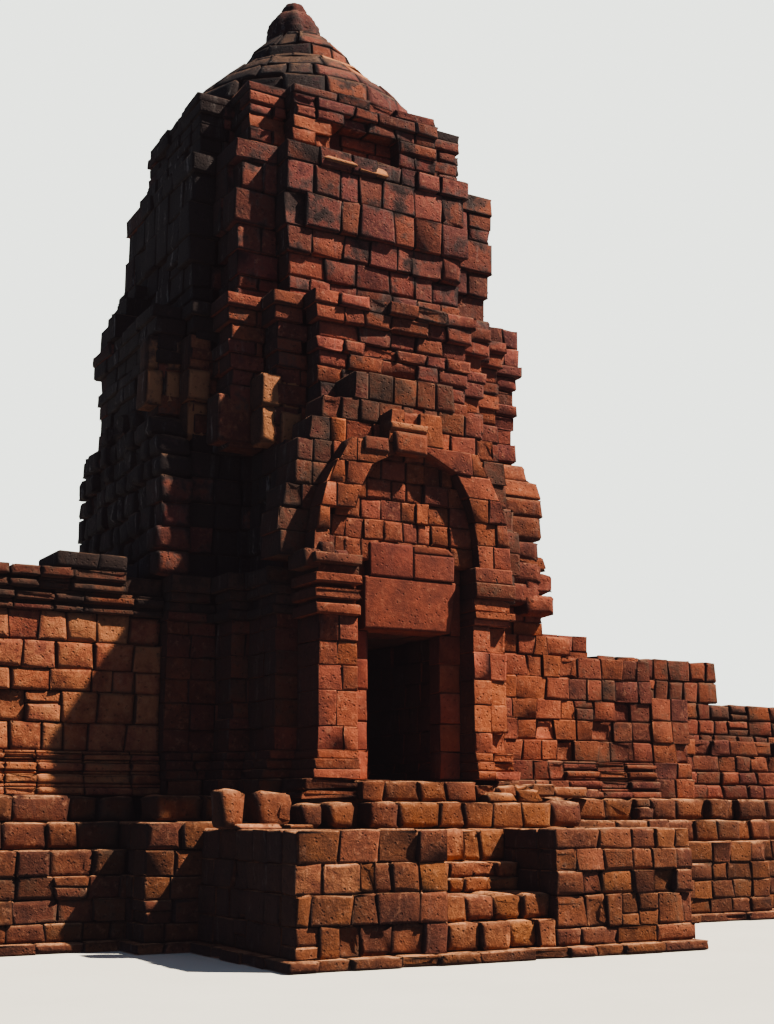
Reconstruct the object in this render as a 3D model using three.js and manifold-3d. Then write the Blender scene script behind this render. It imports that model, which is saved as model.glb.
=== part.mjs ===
// A ruined laterite gate tower of a Khmer Hindu temple, with its terrace, porches and wall stubs.
// Millimetres, +Z up. The origin is on the ground under the tower's axis, and the front faces -Y.
import * as THREE from 'three';
import { mergeVertices } from 'three/addons/utils/BufferGeometryUtils.js';
import Module from 'manifold-3d';

const wasm = await Module();
wasm.setup();

// Heights of the courses and storeys above the ground.
const groundCourseTop = 120;
const lowerTerraceTop = 1150;
const upperTerraceTop = 1480;
const baseStepTop = 1800;
const floorTop = 2000;
const doorHead = 3870;
const lintelTop = 4550;
const corniceBottom = 3870;
const storeyTop = 4650;
const archSpring = 4750;
const upperBodyTop = 6400;
const firstTierTop = 8550;
const secondTierTop = 10900;
const thirdTierTop = 12050;
const domeTop = 13100;
const crownRingTop = 13900;
const finialTop = 14700;

// The terrace, given for one quarter as half widths along X and reaches along Y.
const galleryEnd = 10600;
const terraceSteps = [
  { half: galleryEnd, reach: 2050 },
  { half: 7000, reach: 2500 },
  { half: 3300, reach: 3100 },
  { half: 2640, reach: 5750 },
];
const groundCourseLip = 120;
const terraceLedge = 300;
const baseStepSteps = [
  { half: galleryEnd, reach: 1650 },
  { half: 6700, reach: 2000 },
  { half: 3050, reach: 2750 },
  { half: 2500, reach: 4050 },
];

// The stairs let into the terrace, front and back.
const stairLeft = 800;
const stairRight = 650;
const stairBack = 4350;
const stairTreads = [5750, 5620, 5060, 4720];
const stairRisers = [groundCourseTop, 420, 700, 1050, upperTerraceTop];

// The storey that people walk through.
const chamberHalf = 1350;
const passageHalf = 600;
const sideDoorHalf = 500;
const doorHalf = 530;
const armHalfSide = 1800;
const armReachSide = 2650;
const cornerX = 1950;
const cornerY = 2300;
const armHalfFront = 1700;
const armReachFront = 3150;
const plinthLip = 220;

// Mouldings as courses: from a height, to a height, and how far each stands out.
const cornerBase = [[0, 120, 150], [120, 240, 100], [240, 350, 50]];
const bodyCorniceCourses = [
  [0, 180, 0], [180, 300, 50], [300, 430, 20], [430, 560, 80], [560, storeyTop - corniceBottom, 130],
];
const pilasterFoot = [[0, 110, 90], [110, 230, 60], [230, 340, 30]];
const pilasterCapital = [
  [0, 140, 40], [140, 210, 10], [210, 340, 70], [340, 410, 30], [410, 530, 100], [530, 660, 60],
  [660, 760, 120],
];
const wallBase = [[0, 130, 190], [130, 260, 130], [260, 400, 80], [400, 550, 40]];
const wallCornice = [[0, 90, 60], [90, 220, 110], [220, 360, 160]];

// The porch front.
const porchFront = 3750;
const jambFront = 3420;
const pilasterInner = 850;
const pilasterOuter = 1400;
const lintelHalf = 690;
const lintelFront = 3600;
const lintelNotch = { width: 110, top: 4100 };
const relievingStones = { left: -620, middle: 30, right: 660, front: 3620, top: 4990, cut: 110 };
const pedimentFront = 3450;
const pedimentBack = 2880;
const pediment = { half: 1800, rise: 2550, spring: archSpring, point: 0.95 };
const archOuter = { half: 1470, rise: 2000, spring: archSpring, point: 1 };
const archInner = { half: 930, rise: 1500, spring: archSpring, point: 0.9 };
const lostArchStones = { outer: 1250, top: 5550 };
const keystoneBlock = { left: -360, right: 140, out: 200, low: 6150, high: 6450 };

// The side pediments, where the wings' lost roofs met the tower.
const leftPediment = { front: 2850, back: 2350 };
const rightPediment = { front: 3350, back: 2650 };
const sidePediment = { half: 1850, rise: 1200, spring: 6000, point: 0.7 };
const curveSteps = 12;

// The walls of the wings and of the gallery beyond them.
const wingEnd = 6250;
const wallOuter = 1650;
const wallInner = 950;
const galleryOuter = 1300;
const galleryInner = 700;
const wallShaftTop = 4290;
const raisedCourse = { near: 3200, far: 4150, outer: 1810, top: 4860 };
const ruinedWallTop = 3900;
const ruinedEnd = { start: 5500, top: 3360 };
const ruinedHigh = { end: 3950, top: 4200 };
const underPediment = { end: 3500, outer: 1560 };
const galleryFrontTop = 2760;
const galleryBackTop = 4300;
const galleryBackEnd = { start: 9000, top: 3540 };

// The tiers. Each is a square mass with an arm on every side, ringed round the corbelled shaft.
const upperBody = {
  low: storeyTop, shaft: 1200, corner: 1750, shift: 150,
  side: [{ half: 1700, reach: 2500 }],
  front: [{ half: 1650, reach: 2880 }],
  layers: [[0, upperBodyTop - storeyTop, 0]],
};
const firstTier = {
  low: upperBodyTop, shaft: 950, corner: 2170, shift: 170, leftLoss: 80,
  side: [{ half: 1600, reach: 2450 }, { half: 1300, reach: 3040 }],
  front: [{ half: 1650, reach: 2550 }, { half: 1180, reach: 2880 }],
  layers: [
    [0, 1280, 0], [1280, 1480, 50], [1480, 1620, 10], [1620, 1820, 70],
    [1820, firstTierTop - upperBodyTop, 120],
  ],
};
const secondTier = {
  low: firstTierTop, shaft: 650, corner: 2070, shift: 170,
  side: [{ half: 1350, reach: 2450 }],
  front: [{ half: 1430, reach: 2390 }],
  layers: [
    [0, 370, -60], [370, 740, -20], [740, 1100, 20], [1100, 1420, 110], [1420, 1750, 60],
    [1750, secondTierTop - firstTierTop, 80],
  ],
};
const thirdTier = {
  low: secondTierTop, shaft: 350, corner: 1770, shift: 160,
  side: [{ half: 1100, reach: 2180 }],
  front: [{ half: 1200, reach: 2050 }],
  layers: [[0, 820, 0], [820, 1000, 30], [1000, thirdTierTop - secondTierTop, 10]],
};
const niche = { left: -410, right: 710, depthTo: 1800, low: 10950, high: 11550 };
const ledgeStumpSize = { near: 2750, far: 3330, front: 1300, back: 800, top: 9180 };

// The crown's outlines: radii and heights from the foot up.
const domeProfile = [
  [1960, thirdTierTop], [2010, 12150], [1960, 12260], [1910, 12390], [1800, 12480], [1730, 12600],
  [1620, 12740], [1540, 12820], [1430, 12930], [1330, domeTop],
];
const ringProfile = [
  [1180, domeTop], [1220, 13150], [1160, 13200], [1020, 13230], [990, 13340], [1000, 13400],
  [880, 13510], [780, 13620], [700, 13720], [560, 13800], [480, crownRingTop],
];
const finialProfile = [
  [430, crownRingTop], [465, 13970], [440, 14060], [390, 14100], [405, 14160], [360, 14260],
  [300, 14300], [310, 14370], [240, 14480], [180, 14510], [170, 14560], [90, 14650], [0, finialTop],
];
const crownSides = 24;
const finialSides = 16;
const finialShift = -80;

const colours = {
  wall: { color: 0x9c4a2b, roughness: 0.95, metalness: 0 },
  dark: { color: 0x5a3226, roughness: 0.97, metalness: 0 },
  terrace: { color: 0x8a4f2e, roughness: 0.96, metalness: 0 },
  dressed: { color: 0xa8502d, roughness: 0.9, metalness: 0 },
};

// Small modelling tools.

function solidOf(geometry) {
  const plain = geometry.clone();
  plain.deleteAttribute('normal');
  plain.deleteAttribute('uv');
  const merged = mergeVertices(plain, 1e-3);
  return new wasm.Manifold(new wasm.Mesh({
    numProp: 3,
    vertProperties: new Float32Array(merged.attributes.position.array),
    triVerts: new Uint32Array(merged.index.array),
  }));
}

function geometryOf(solid) {
  const mesh = solid.getMesh();
  const geometry = new THREE.BufferGeometry();
  geometry.setAttribute('position', new THREE.BufferAttribute(mesh.vertProperties, 3));
  geometry.setIndex(new THREE.BufferAttribute(mesh.triVerts, 1));
  geometry.computeVertexNormals();
  return geometry;
}

// A prism on a plan outline, from one height to another.
function prism(points, low, high) {
  const outline = new THREE.Shape(points.map(([x, y]) => new THREE.Vector2(x, y)));
  const geometry = new THREE.ExtrudeGeometry(outline, { depth: high - low, bevelEnabled: false });
  geometry.translate(0, 0, low);
  return solidOf(geometry);
}

function block(x0, x1, y0, y1, z0, z1) {
  const geometry = new THREE.BoxGeometry(x1 - x0, y1 - y0, z1 - z0);
  geometry.translate((x0 + x1) / 2, (y0 + y1) / 2, (z0 + z1) / 2);
  return solidOf(geometry);
}

// An upright outline in X and Z, as thick as y0 to y1.
function upright(points, y0, y1) {
  const outline = new THREE.Shape(points.map(([x, z]) => new THREE.Vector2(x, z)));
  const geometry = new THREE.ExtrudeGeometry(outline, { depth: y1 - y0, bevelEnabled: false });
  geometry.rotateX(Math.PI / 2);
  geometry.translate(0, y1, 0);
  return solidOf(geometry);
}

function join(solids) {
  return solids.reduce((all, next) => all.add(next));
}

// Courses of one plan, each [low, high, how far it stands out], above a base height.
function courses(plan, base, layers) {
  return join(layers.map(([low, high, lip]) => prism(plan(lip), base + low, base + high)));
}

// One quarter's corners, repeated round all four quarters.
function fourQuarters(quarter) {
  const back = [...quarter].reverse();
  return [
    ...quarter,
    ...back.map(([x, y]) => [-x, y]),
    ...quarter.map(([x, y]) => [-x, -y]),
    ...back.map(([x, y]) => [x, -y]),
  ];
}

// A stepped outline from half widths and reaches, widest first.
function steppedPlan(steps, lip, endLip = lip) {
  const quarter = [];
  steps.forEach(({ half, reach }, i) => {
    const out = i === 0 ? endLip : lip;
    if (i > 0) quarter.push([half + out, steps[i - 1].reach + lip]);
    quarter.push([half + out, reach + lip]);
  });
  return fourQuarters(quarter);
}

// A square with a projecting arm on each side: corner half width, then arm half widths and reaches.
function tierPlan({ corner, side, front, shift, leftLoss = 0 }, lip = 0) {
  const quarter = [];
  [...side].reverse().forEach(({ half, reach }, i, all) => {
    quarter.push([reach + lip, half + lip]);
    const next = i + 1 < all.length ? all[i + 1].reach : corner;
    quarter.push([next + lip, half + lip]);
  });
  quarter.push([corner + lip, corner + lip]);
  front.forEach(({ half, reach }, i) => {
    const last = i > 0 ? front[i - 1].reach : corner;
    quarter.push([half + lip, last + lip], [half + lip, reach + lip]);
  });
  const leftmost = -side.at(-1).reach - lip;
  return fourQuarters(quarter).map(([x, y]) => [x + shift + (x === leftmost ? leftLoss : 0), y]);
}

// Points of an arch's curve from its right foot over the top to its left foot.
function archCurve({ half, rise, spring, point }) {
  const points = [];
  for (let i = 0; i <= 2 * curveSteps; i += 1) {
    const turn = (Math.PI * i) / (2 * curveSteps);
    const across = Math.sign(Math.cos(turn)) * Math.abs(Math.cos(turn)) ** point;
    const x = i === curveSteps ? 0 : Math.round(half * across);
    points.push([x, spring + Math.round(rise * Math.sin(turn))]);
  }
  return points;
}

// The terrace and its stairs.

function stairRecess(low, high) {
  const deep = terraceSteps[3].reach + 2 * groundCourseLip;
  return join([
    block(-stairLeft, stairRight, -deep, -stairBack, low, high),
    block(-stairRight, stairLeft, stairBack, deep, low, high),
  ]);
}

function groundCourse() {
  return prism(steppedPlan(terraceSteps, groundCourseLip, 0), 0, groundCourseTop);
}

function lowerTerrace() {
  const mass = prism(steppedPlan(terraceSteps, 0), groundCourseTop, lowerTerraceTop);
  return mass.subtract(stairRecess(groundCourseTop, lowerTerraceTop));
}

function upperTerrace() {
  const setBack = terraceSteps.map(({ half, reach }, i) => ({
    half: i === 1 ? half - terraceLedge : half,
    reach: i < 2 ? reach - terraceLedge : reach,
  }));
  const mass = prism(steppedPlan(setBack, 0), lowerTerraceTop, upperTerraceTop);
  return mass.subtract(stairRecess(lowerTerraceTop, upperTerraceTop));
}

function stair(side) {
  const steps = stairTreads.map((tread, i) => {
    const [low, high] = [stairRisers[i], stairRisers[i + 1]];
    return side < 0
      ? block(-stairLeft, stairRight, -tread, -stairBack, low, high)
      : block(-stairRight, stairLeft, stairBack, tread, low, high);
  });
  return join(steps);
}

function baseStep() {
  return prism(steppedPlan(baseStepSteps, 0), upperTerraceTop, baseStepTop);
}

// The storey that people walk through.

function bodyPlan(lip) {
  const quarter = [
    [armReachSide, armHalfSide],
    [cornerX, armHalfSide],
    [cornerX, cornerY],
    [armHalfFront, cornerY],
    [armHalfFront, armReachFront],
  ];
  return fourQuarters(quarter.map(([x, y]) => [x + lip, y + lip]));
}

function towerFloor() {
  const [across, along] = [pilasterOuter + plinthLip, porchFront + plinthLip / 2];
  const porch = block(-across, across, -along, along, baseStepTop, floorTop);
  const between = block(
    -armReachSide, armReachSide, -2 * porchFront, 2 * porchFront, baseStepTop, floorTop);
  return prism(bodyPlan(plinthLip), baseStepTop, floorTop).intersect(between).add(porch);
}

function passages(low, high) {
  return join([
    block(-passageHalf, passageHalf, -2 * porchFront, 2 * porchFront, low, high),
    block(-2 * armReachSide, 2 * armReachSide, -sideDoorHalf, sideDoorHalf, low, high),
    block(-chamberHalf, chamberHalf, -chamberHalf, chamberHalf, low, high),
  ]);
}

// Trims mouldings off the faces that meet the wing walls and the porch fronts.
function betweenWingsAndPorches(solid, low, high) {
  const outside = 2 * porchFront;
  const across = pilasterOuter + 2 * cornerBase[0][2];
  const inWing = block(armReachSide, outside, -outside, outside, low, high);
  const beforePorch = block(-across, across, armReachFront, outside, low, high);
  return solid.subtract(inWing).subtract(inWing.mirror([1, 0, 0]))
    .subtract(beforePorch).subtract(beforePorch.mirror([0, 1, 0]));
}

// One of the four corner masses between the doorways, with its moulded base.
function bodyCorner(signX, signY) {
  const outside = 2 * porchFront;
  const baseTop = cornerBase.at(-1)[1];
  const shaftLayer = [baseTop, corniceBottom - floorTop, 0];
  const whole = courses(bodyPlan, floorTop, [...cornerBase, shaftLayer])
    .subtract(passages(floorTop, corniceBottom));
  const quarter = block(
    signX < 0 ? -outside : 0, signX < 0 ? 0 : outside,
    signY < 0 ? -outside : 0, signY < 0 ? 0 : outside, floorTop, corniceBottom);
  return betweenWingsAndPorches(whole.intersect(quarter), floorTop, corniceBottom);
}

// The moulded band over the doorways that ties the four corners together.
function bodyCornice() {
  const ring = courses(bodyPlan, corniceBottom, bodyCorniceCourses);
  const shaft = block(-chamberHalf, chamberHalf, -chamberHalf, chamberHalf, corniceBottom, storeyTop);
  return betweenWingsAndPorches(ring.subtract(shaft), corniceBottom, storeyTop);
}

// A porch front, drawn at -Y and turned half round for the back.

function jamb(sign) {
  const [near, far] = [doorHalf, pilasterInner];
  const post = block(near, far, -jambFront, -armReachFront, floorTop, doorHead);
  const overLintelEnd = block(lintelHalf, far, -jambFront, -armReachFront, doorHead, lintelTop);
  const whole = post.add(overLintelEnd);
  return sign < 0 ? whole.mirror([1, 0, 0]) : whole;
}

function pilaster(sign) {
  const footTop = floorTop + pilasterFoot.at(-1)[1];
  const capitalLow = archSpring - pilasterCapital.at(-1)[1];
  const part = (low, high, lip) => block(
    pilasterInner, pilasterOuter + lip, -porchFront - lip, -armReachFront, low, high);
  const whole = join([
    ...pilasterFoot.map(([low, high, lip]) => part(floorTop + low, floorTop + high, lip)),
    part(footTop, capitalLow, 0),
    ...pilasterCapital.map(([low, high, lip]) => part(capitalLow + low, capitalLow + high, lip)),
  ]);
  return sign < 0 ? whole.mirror([1, 0, 0]) : whole;
}

function lintel() {
  return upright([
    [-lintelHalf, doorHead], [lintelHalf - lintelNotch.width, doorHead], [lintelHalf, lintelNotch.top],
    [lintelHalf, lintelTop], [-lintelHalf, lintelTop],
  ], -lintelFront, -armReachFront);
}

// One of the pair of stones over the lintel; the right one has lost its corner.
function relievingStone(x0, x1, cut) {
  const { front, top } = relievingStones;
  const corner = cut > 0 ? [[x1, top - cut], [x1 - cut, top]] : [[x1, top]];
  return upright([[x0, lintelTop], [x1, lintelTop], ...corner, [x0, top]], -front, -pedimentFront);
}

function pedimentWall() {
  const { half, spring } = pediment;
  const plate = upright([
    [-pilasterInner, lintelTop], [pilasterInner, lintelTop], [pilasterInner, spring],
    ...archCurve(pediment),
    [-pilasterInner, spring],
  ], -pedimentFront, -pedimentBack);
  return plate.subtract(block(-half, half, -armReachFront, -pedimentBack, lintelTop, storeyTop));
}

function arch() {
  return upright([
    ...archCurve(archOuter),
    ...archCurve(archInner).reverse(),
  ], -porchFront, -pedimentFront);
}

// The front arch has lost the inner stones of its left leg.
function frontArch() {
  const { outer, top } = lostArchStones;
  return arch().subtract(block(-outer, 0, -porchFront, -pedimentFront, archSpring, top));
}

function keystone() {
  const { left, right, out, low, high } = keystoneBlock;
  return block(left, right, -porchFront - out, -porchFront, low, high);
}

// A side pediment: upright sides with a low arch over them.
function sidePedimentPlate({ front, back }, turn) {
  const { half } = sidePediment;
  const plate = upright(
    [[-half, storeyTop], [half, storeyTop], ...archCurve(sidePediment)], -front, -back);
  return plate.rotate([0, 0, turn]);
}

const leftPedimentPlate = sidePedimentPlate(leftPediment, -90);
const rightPedimentPlate = sidePedimentPlate(rightPediment, 90);

// The tiers.

function tierRing(tier) {
  const { low, shaft, layers } = tier;
  const top = low + layers.at(-1)[1];
  const mass = courses((lip) => tierPlan(tier, lip), low, layers);
  return mass.subtract(block(-shaft, shaft, -shaft, shaft, low, top));
}

function firstTierRing() {
  return tierRing(firstTier).subtract(leftPedimentPlate).subtract(rightPedimentPlate);
}

// The stump of a corner ornament left standing on the first tier's right ledge.
function ledgeStump() {
  const { near, far, front, back, top } = ledgeStumpSize;
  return block(near, far, -front, -back, firstTierTop, top);
}

function thirdTierRing() {
  const { left, right, depthTo, low, high } = niche;
  const hollow = block(left, right, -2 * depthTo, -depthTo, low, high);
  return tierRing(thirdTier).subtract(hollow).subtract(hollow.rotate([0, 0, 180]));
}

// The crown, turned round the tower's axis.
function turned(profile, sides, shiftX = 0) {
  const closed = [[0, profile[0][1]], ...profile];
  const [lastRadius, head] = profile.at(-1);
  if (lastRadius > 0) closed.push([0, head]);
  const points = closed.map(([radius, height]) => new THREE.Vector2(radius, height));
  const geometry = new THREE.LatheGeometry(points, sides);
  geometry.rotateX(Math.PI / 2);
  geometry.translate(shiftX, 0, 0);
  return solidOf(geometry);
}

// The walls of the wings and the gallery, drawn at +X -Y and mirrored.

// A wall along X with courses that stand out of its outer face only.
function wallRun(x0, x1, outer, inner, layers) {
  return join(layers.map(([low, high, lip]) => block(x0, x1, -outer - lip, -inner, low, high)));
}

function baseLayers(top) {
  const lowest = wallBase.map(([low, high, lip]) => [baseStepTop + low, baseStepTop + high, lip]);
  return [...lowest, [baseStepTop + wallBase.at(-1)[1], top, 0]];
}

function corniceLayers() {
  return wallCornice.map(([low, high, lip]) => [wallShaftTop + low, wallShaftTop + high, lip]);
}

function wholeWingWall() {
  const layers = [...baseLayers(wallShaftTop), ...corniceLayers()];
  return wallRun(armReachSide, wingEnd, wallOuter, wallInner, layers);
}

function leftFrontWingWall() {
  const { near, far, outer, top } = raisedCourse;
  return wholeWingWall().mirror([1, 0, 0]).add(block(-far, -near, -outer, -wallInner, storeyTop, top));
}

function ruinedWingWall() {
  const full = wallRun(armReachSide, wingEnd, wallOuter, wallInner, baseLayers(ruinedWallTop));
  const lost = block(ruinedEnd.start, wingEnd, -2 * wallOuter, 0, ruinedEnd.top, ruinedWallTop);
  const nearTower = block(
    armReachSide, ruinedHigh.end, -wallOuter, -wallInner, ruinedWallTop, ruinedHigh.top);
  const highest = block(
    armReachSide, underPediment.end, -underPediment.outer, -wallInner, ruinedHigh.top, storeyTop);
  return full.subtract(lost).add(nearTower).add(highest);
}

function galleryFrontWall() {
  return wallRun(wingEnd, galleryEnd, galleryOuter, galleryInner, baseLayers(galleryFrontTop));
}

function galleryBackWall() {
  const { start, top } = galleryBackEnd;
  const full = wallRun(wingEnd, galleryEnd, galleryOuter, galleryInner, baseLayers(galleryBackTop));
  return full.subtract(block(start, galleryEnd, -2 * galleryOuter, 0, top, galleryBackTop));
}

// The assembly.

const temple = new THREE.Group();
const groups = {};

function addPiece(groupName, name, solid, look) {
  if (!groups[groupName]) {
    groups[groupName] = new THREE.Group();
    temple.add(groups[groupName]);
  }
  const centre = new THREE.Vector3();
  const geometry = geometryOf(solid);
  geometry.computeBoundingBox();
  geometry.boundingBox.getCenter(centre);
  centre.set(Math.round(centre.x), Math.round(centre.y), Math.round(centre.z));
  geometry.translate(-centre.x, -centre.y, -centre.z);
  const mesh = new THREE.Mesh(geometry, new THREE.MeshStandardMaterial(colours[look]));
  mesh.name = name;
  mesh.position.copy(centre);
  groups[groupName].add(mesh);
}

const turnHalf = (solid) => solid.rotate([0, 0, 180]);
const acrossX = (solid) => solid.mirror([1, 0, 0]);
const acrossY = (solid) => solid.mirror([0, 1, 0]);

addPiece('terrace', 'ground_course', groundCourse(), 'terrace');
addPiece('terrace', 'lower_terrace', lowerTerrace(), 'terrace');
addPiece('terrace', 'upper_terrace', upperTerrace(), 'terrace');
addPiece('terrace', 'front_stair', stair(-1), 'terrace');
addPiece('terrace', 'back_stair', stair(1), 'terrace');
addPiece('terrace', 'base_step', baseStep(), 'terrace');
addPiece('storey', 'tower_floor', towerFloor(), 'terrace');

for (const [name, signX, signY] of [
  ['body_corner_front_left', -1, -1], ['body_corner_front_right', 1, -1],
  ['body_corner_back_left', -1, 1], ['body_corner_back_right', 1, 1],
]) addPiece('storey', name, bodyCorner(signX, signY), 'wall');
addPiece('storey', 'body_cornice', bodyCornice(), 'wall');

const leftStone = relievingStone(relievingStones.left, relievingStones.middle, 0);
const rightStone = relievingStone(
  relievingStones.middle, relievingStones.right, relievingStones.cut);
addPiece('front_porch', 'front_left_jamb', jamb(-1), 'dressed');
addPiece('front_porch', 'front_right_jamb', jamb(1), 'dressed');
addPiece('front_porch', 'front_left_pilaster', pilaster(-1), 'wall');
addPiece('front_porch', 'front_right_pilaster', pilaster(1), 'wall');
addPiece('front_porch', 'front_lintel', lintel(), 'dressed');
addPiece('front_porch', 'front_relieving_stone_left', leftStone, 'dressed');
addPiece('front_porch', 'front_relieving_stone_right', rightStone, 'dressed');
addPiece('front_porch', 'front_pediment_wall', pedimentWall(), 'wall');
addPiece('front_porch', 'front_arch', frontArch(), 'wall');
addPiece('front_porch', 'front_keystone', keystone(), 'wall');

addPiece('back_porch', 'back_left_jamb', turnHalf(jamb(-1)), 'dressed');
addPiece('back_porch', 'back_right_jamb', turnHalf(jamb(1)), 'dressed');
addPiece('back_porch', 'back_left_pilaster', turnHalf(pilaster(-1)), 'wall');
addPiece('back_porch', 'back_right_pilaster', turnHalf(pilaster(1)), 'wall');
addPiece('back_porch', 'back_lintel', turnHalf(lintel()), 'dressed');
addPiece('back_porch', 'back_pediment_wall', turnHalf(pedimentWall()), 'wall');
addPiece('back_porch', 'back_arch', turnHalf(arch()), 'wall');

addPiece('tower', 'left_pediment', leftPedimentPlate, 'dark');
addPiece('tower', 'right_pediment', rightPedimentPlate, 'wall');
addPiece('tower', 'upper_body', tierRing(upperBody), 'dark');
addPiece('tower', 'first_tier', firstTierRing(), 'wall');
addPiece('tower', 'ledge_stump', ledgeStump(), 'dark');
addPiece('tower', 'second_tier', tierRing(secondTier), 'dark');
addPiece('tower', 'third_tier', thirdTierRing(), 'dark');
addPiece('tower', 'crown_dome', turned(domeProfile, crownSides), 'dark');
addPiece('tower', 'crown_ring', turned(ringProfile, crownSides), 'dark');
addPiece('tower', 'finial', turned(finialProfile, finialSides, finialShift), 'dark');

addPiece('wings', 'left_front_wall', leftFrontWingWall(), 'wall');
addPiece('wings', 'right_front_wall', ruinedWingWall(), 'wall');
addPiece('wings', 'left_back_wall', acrossX(acrossY(wholeWingWall())), 'wall');
addPiece('wings', 'right_back_wall', acrossY(wholeWingWall()), 'wall');
addPiece('wings', 'left_gallery_front_wall', acrossX(galleryFrontWall()), 'wall');
addPiece('wings', 'right_gallery_front_wall', galleryFrontWall(), 'wall');
addPiece('wings', 'left_gallery_back_wall', acrossX(acrossY(galleryBackWall())), 'wall');
addPiece('wings', 'right_gallery_back_wall', acrossY(galleryBackWall()), 'wall');

export default temple;
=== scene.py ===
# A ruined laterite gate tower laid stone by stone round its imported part.
# Metres, Z up, the front faces -Y.
import math

import bmesh
import bpy
import numpy as np
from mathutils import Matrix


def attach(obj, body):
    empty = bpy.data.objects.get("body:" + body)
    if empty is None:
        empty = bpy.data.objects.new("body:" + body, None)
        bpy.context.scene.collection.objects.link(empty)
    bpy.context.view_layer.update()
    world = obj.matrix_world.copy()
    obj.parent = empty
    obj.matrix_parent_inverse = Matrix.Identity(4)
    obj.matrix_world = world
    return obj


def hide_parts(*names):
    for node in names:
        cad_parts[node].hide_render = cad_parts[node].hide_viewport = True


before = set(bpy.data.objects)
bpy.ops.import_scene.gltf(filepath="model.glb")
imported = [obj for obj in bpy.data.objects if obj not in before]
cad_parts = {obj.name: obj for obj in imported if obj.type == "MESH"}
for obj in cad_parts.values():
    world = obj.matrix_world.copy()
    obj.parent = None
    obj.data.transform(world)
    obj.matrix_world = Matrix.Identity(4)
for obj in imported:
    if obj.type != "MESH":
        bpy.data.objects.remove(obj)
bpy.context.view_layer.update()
print("frame loaded:", len(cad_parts), "nodes")


# stones and piles of stones

cutting = {  # how every stone is cut from the same block
    "rim": 0.9,          # the block's corners are at 1 and -1, so points beyond this lie outside
    "leastHalf": 0.012,  # half of a stone is at least this thick
    "roundMost": 0.45,   # the most that its edges round off, as a share of that half
    "leastFlat": 0.001,
    "inset": 1.3,        # how many roundings from its edge a face starts to round off
    "insetMost": 0.3,
    "roughMost": 1.9,    # a corner strays at most this many times the wear
    "fullWear": 6.0,     # stones under a third of a metre thick wear less
    "chipFrom": 0.4,     # how rare chipped edges are
    "chip": 2.0,         # how deep a chip is, in times of the wear
    "hollow": 0.05,      # how deep the face of an eaten stone may be hollowed
}

plainLook = {
    "size": 0.42,     # mean length of a stone
    "depth": 0.36,    # how far it reaches into the wall
    "gap": 0.003,     # open joint
    "round": 0.009,   # radius of the worn edges
    "wear": 0.006,    # roughness of its faces
    "out": 0.010,     # how unevenly the faces stand
    "tilt": 0.006,    # radians
    "slant": 0.012,   # how far the joints lean
    "worn": 0.12,     # share of stones that are half eaten away
    "split": 0.05,    # share of stones laid as two thin ones
    "lost": 0.0,      # share of stones that are gone
    "tone": (0.3, 0.8),
    "pale": 0.0,      # ochre, 0 to 1
    "grime": 0.35,    # grey lichen, 0 to 1
    "leftward": 0.3,  # more of it on the walls that face left: grime with painted shade of the side turned from the sun
}

straying = {  # how one stone differs from the look of its pile
    "outMost": 1.8,           # it stands out at most this many times the usual
    "round": (0.6, 1.5),      # shares of the usual
    "joint": (0.6, 1.4),
    "pale": (0.7, 1.1),
    "grime": 0.08,
    "eatenRound": 1.8,        # an eaten stone is rounder, rougher and further in
    "eatenWear": 1.5,
    "eatenSink": (0.01, 0.05),
    "leftTurn": -0.7,         # sine of the turn below which a wall faces left
    "leftFrom": -1.4,         # y behind which such walls are darker, with grime and painted shade
}

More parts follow.
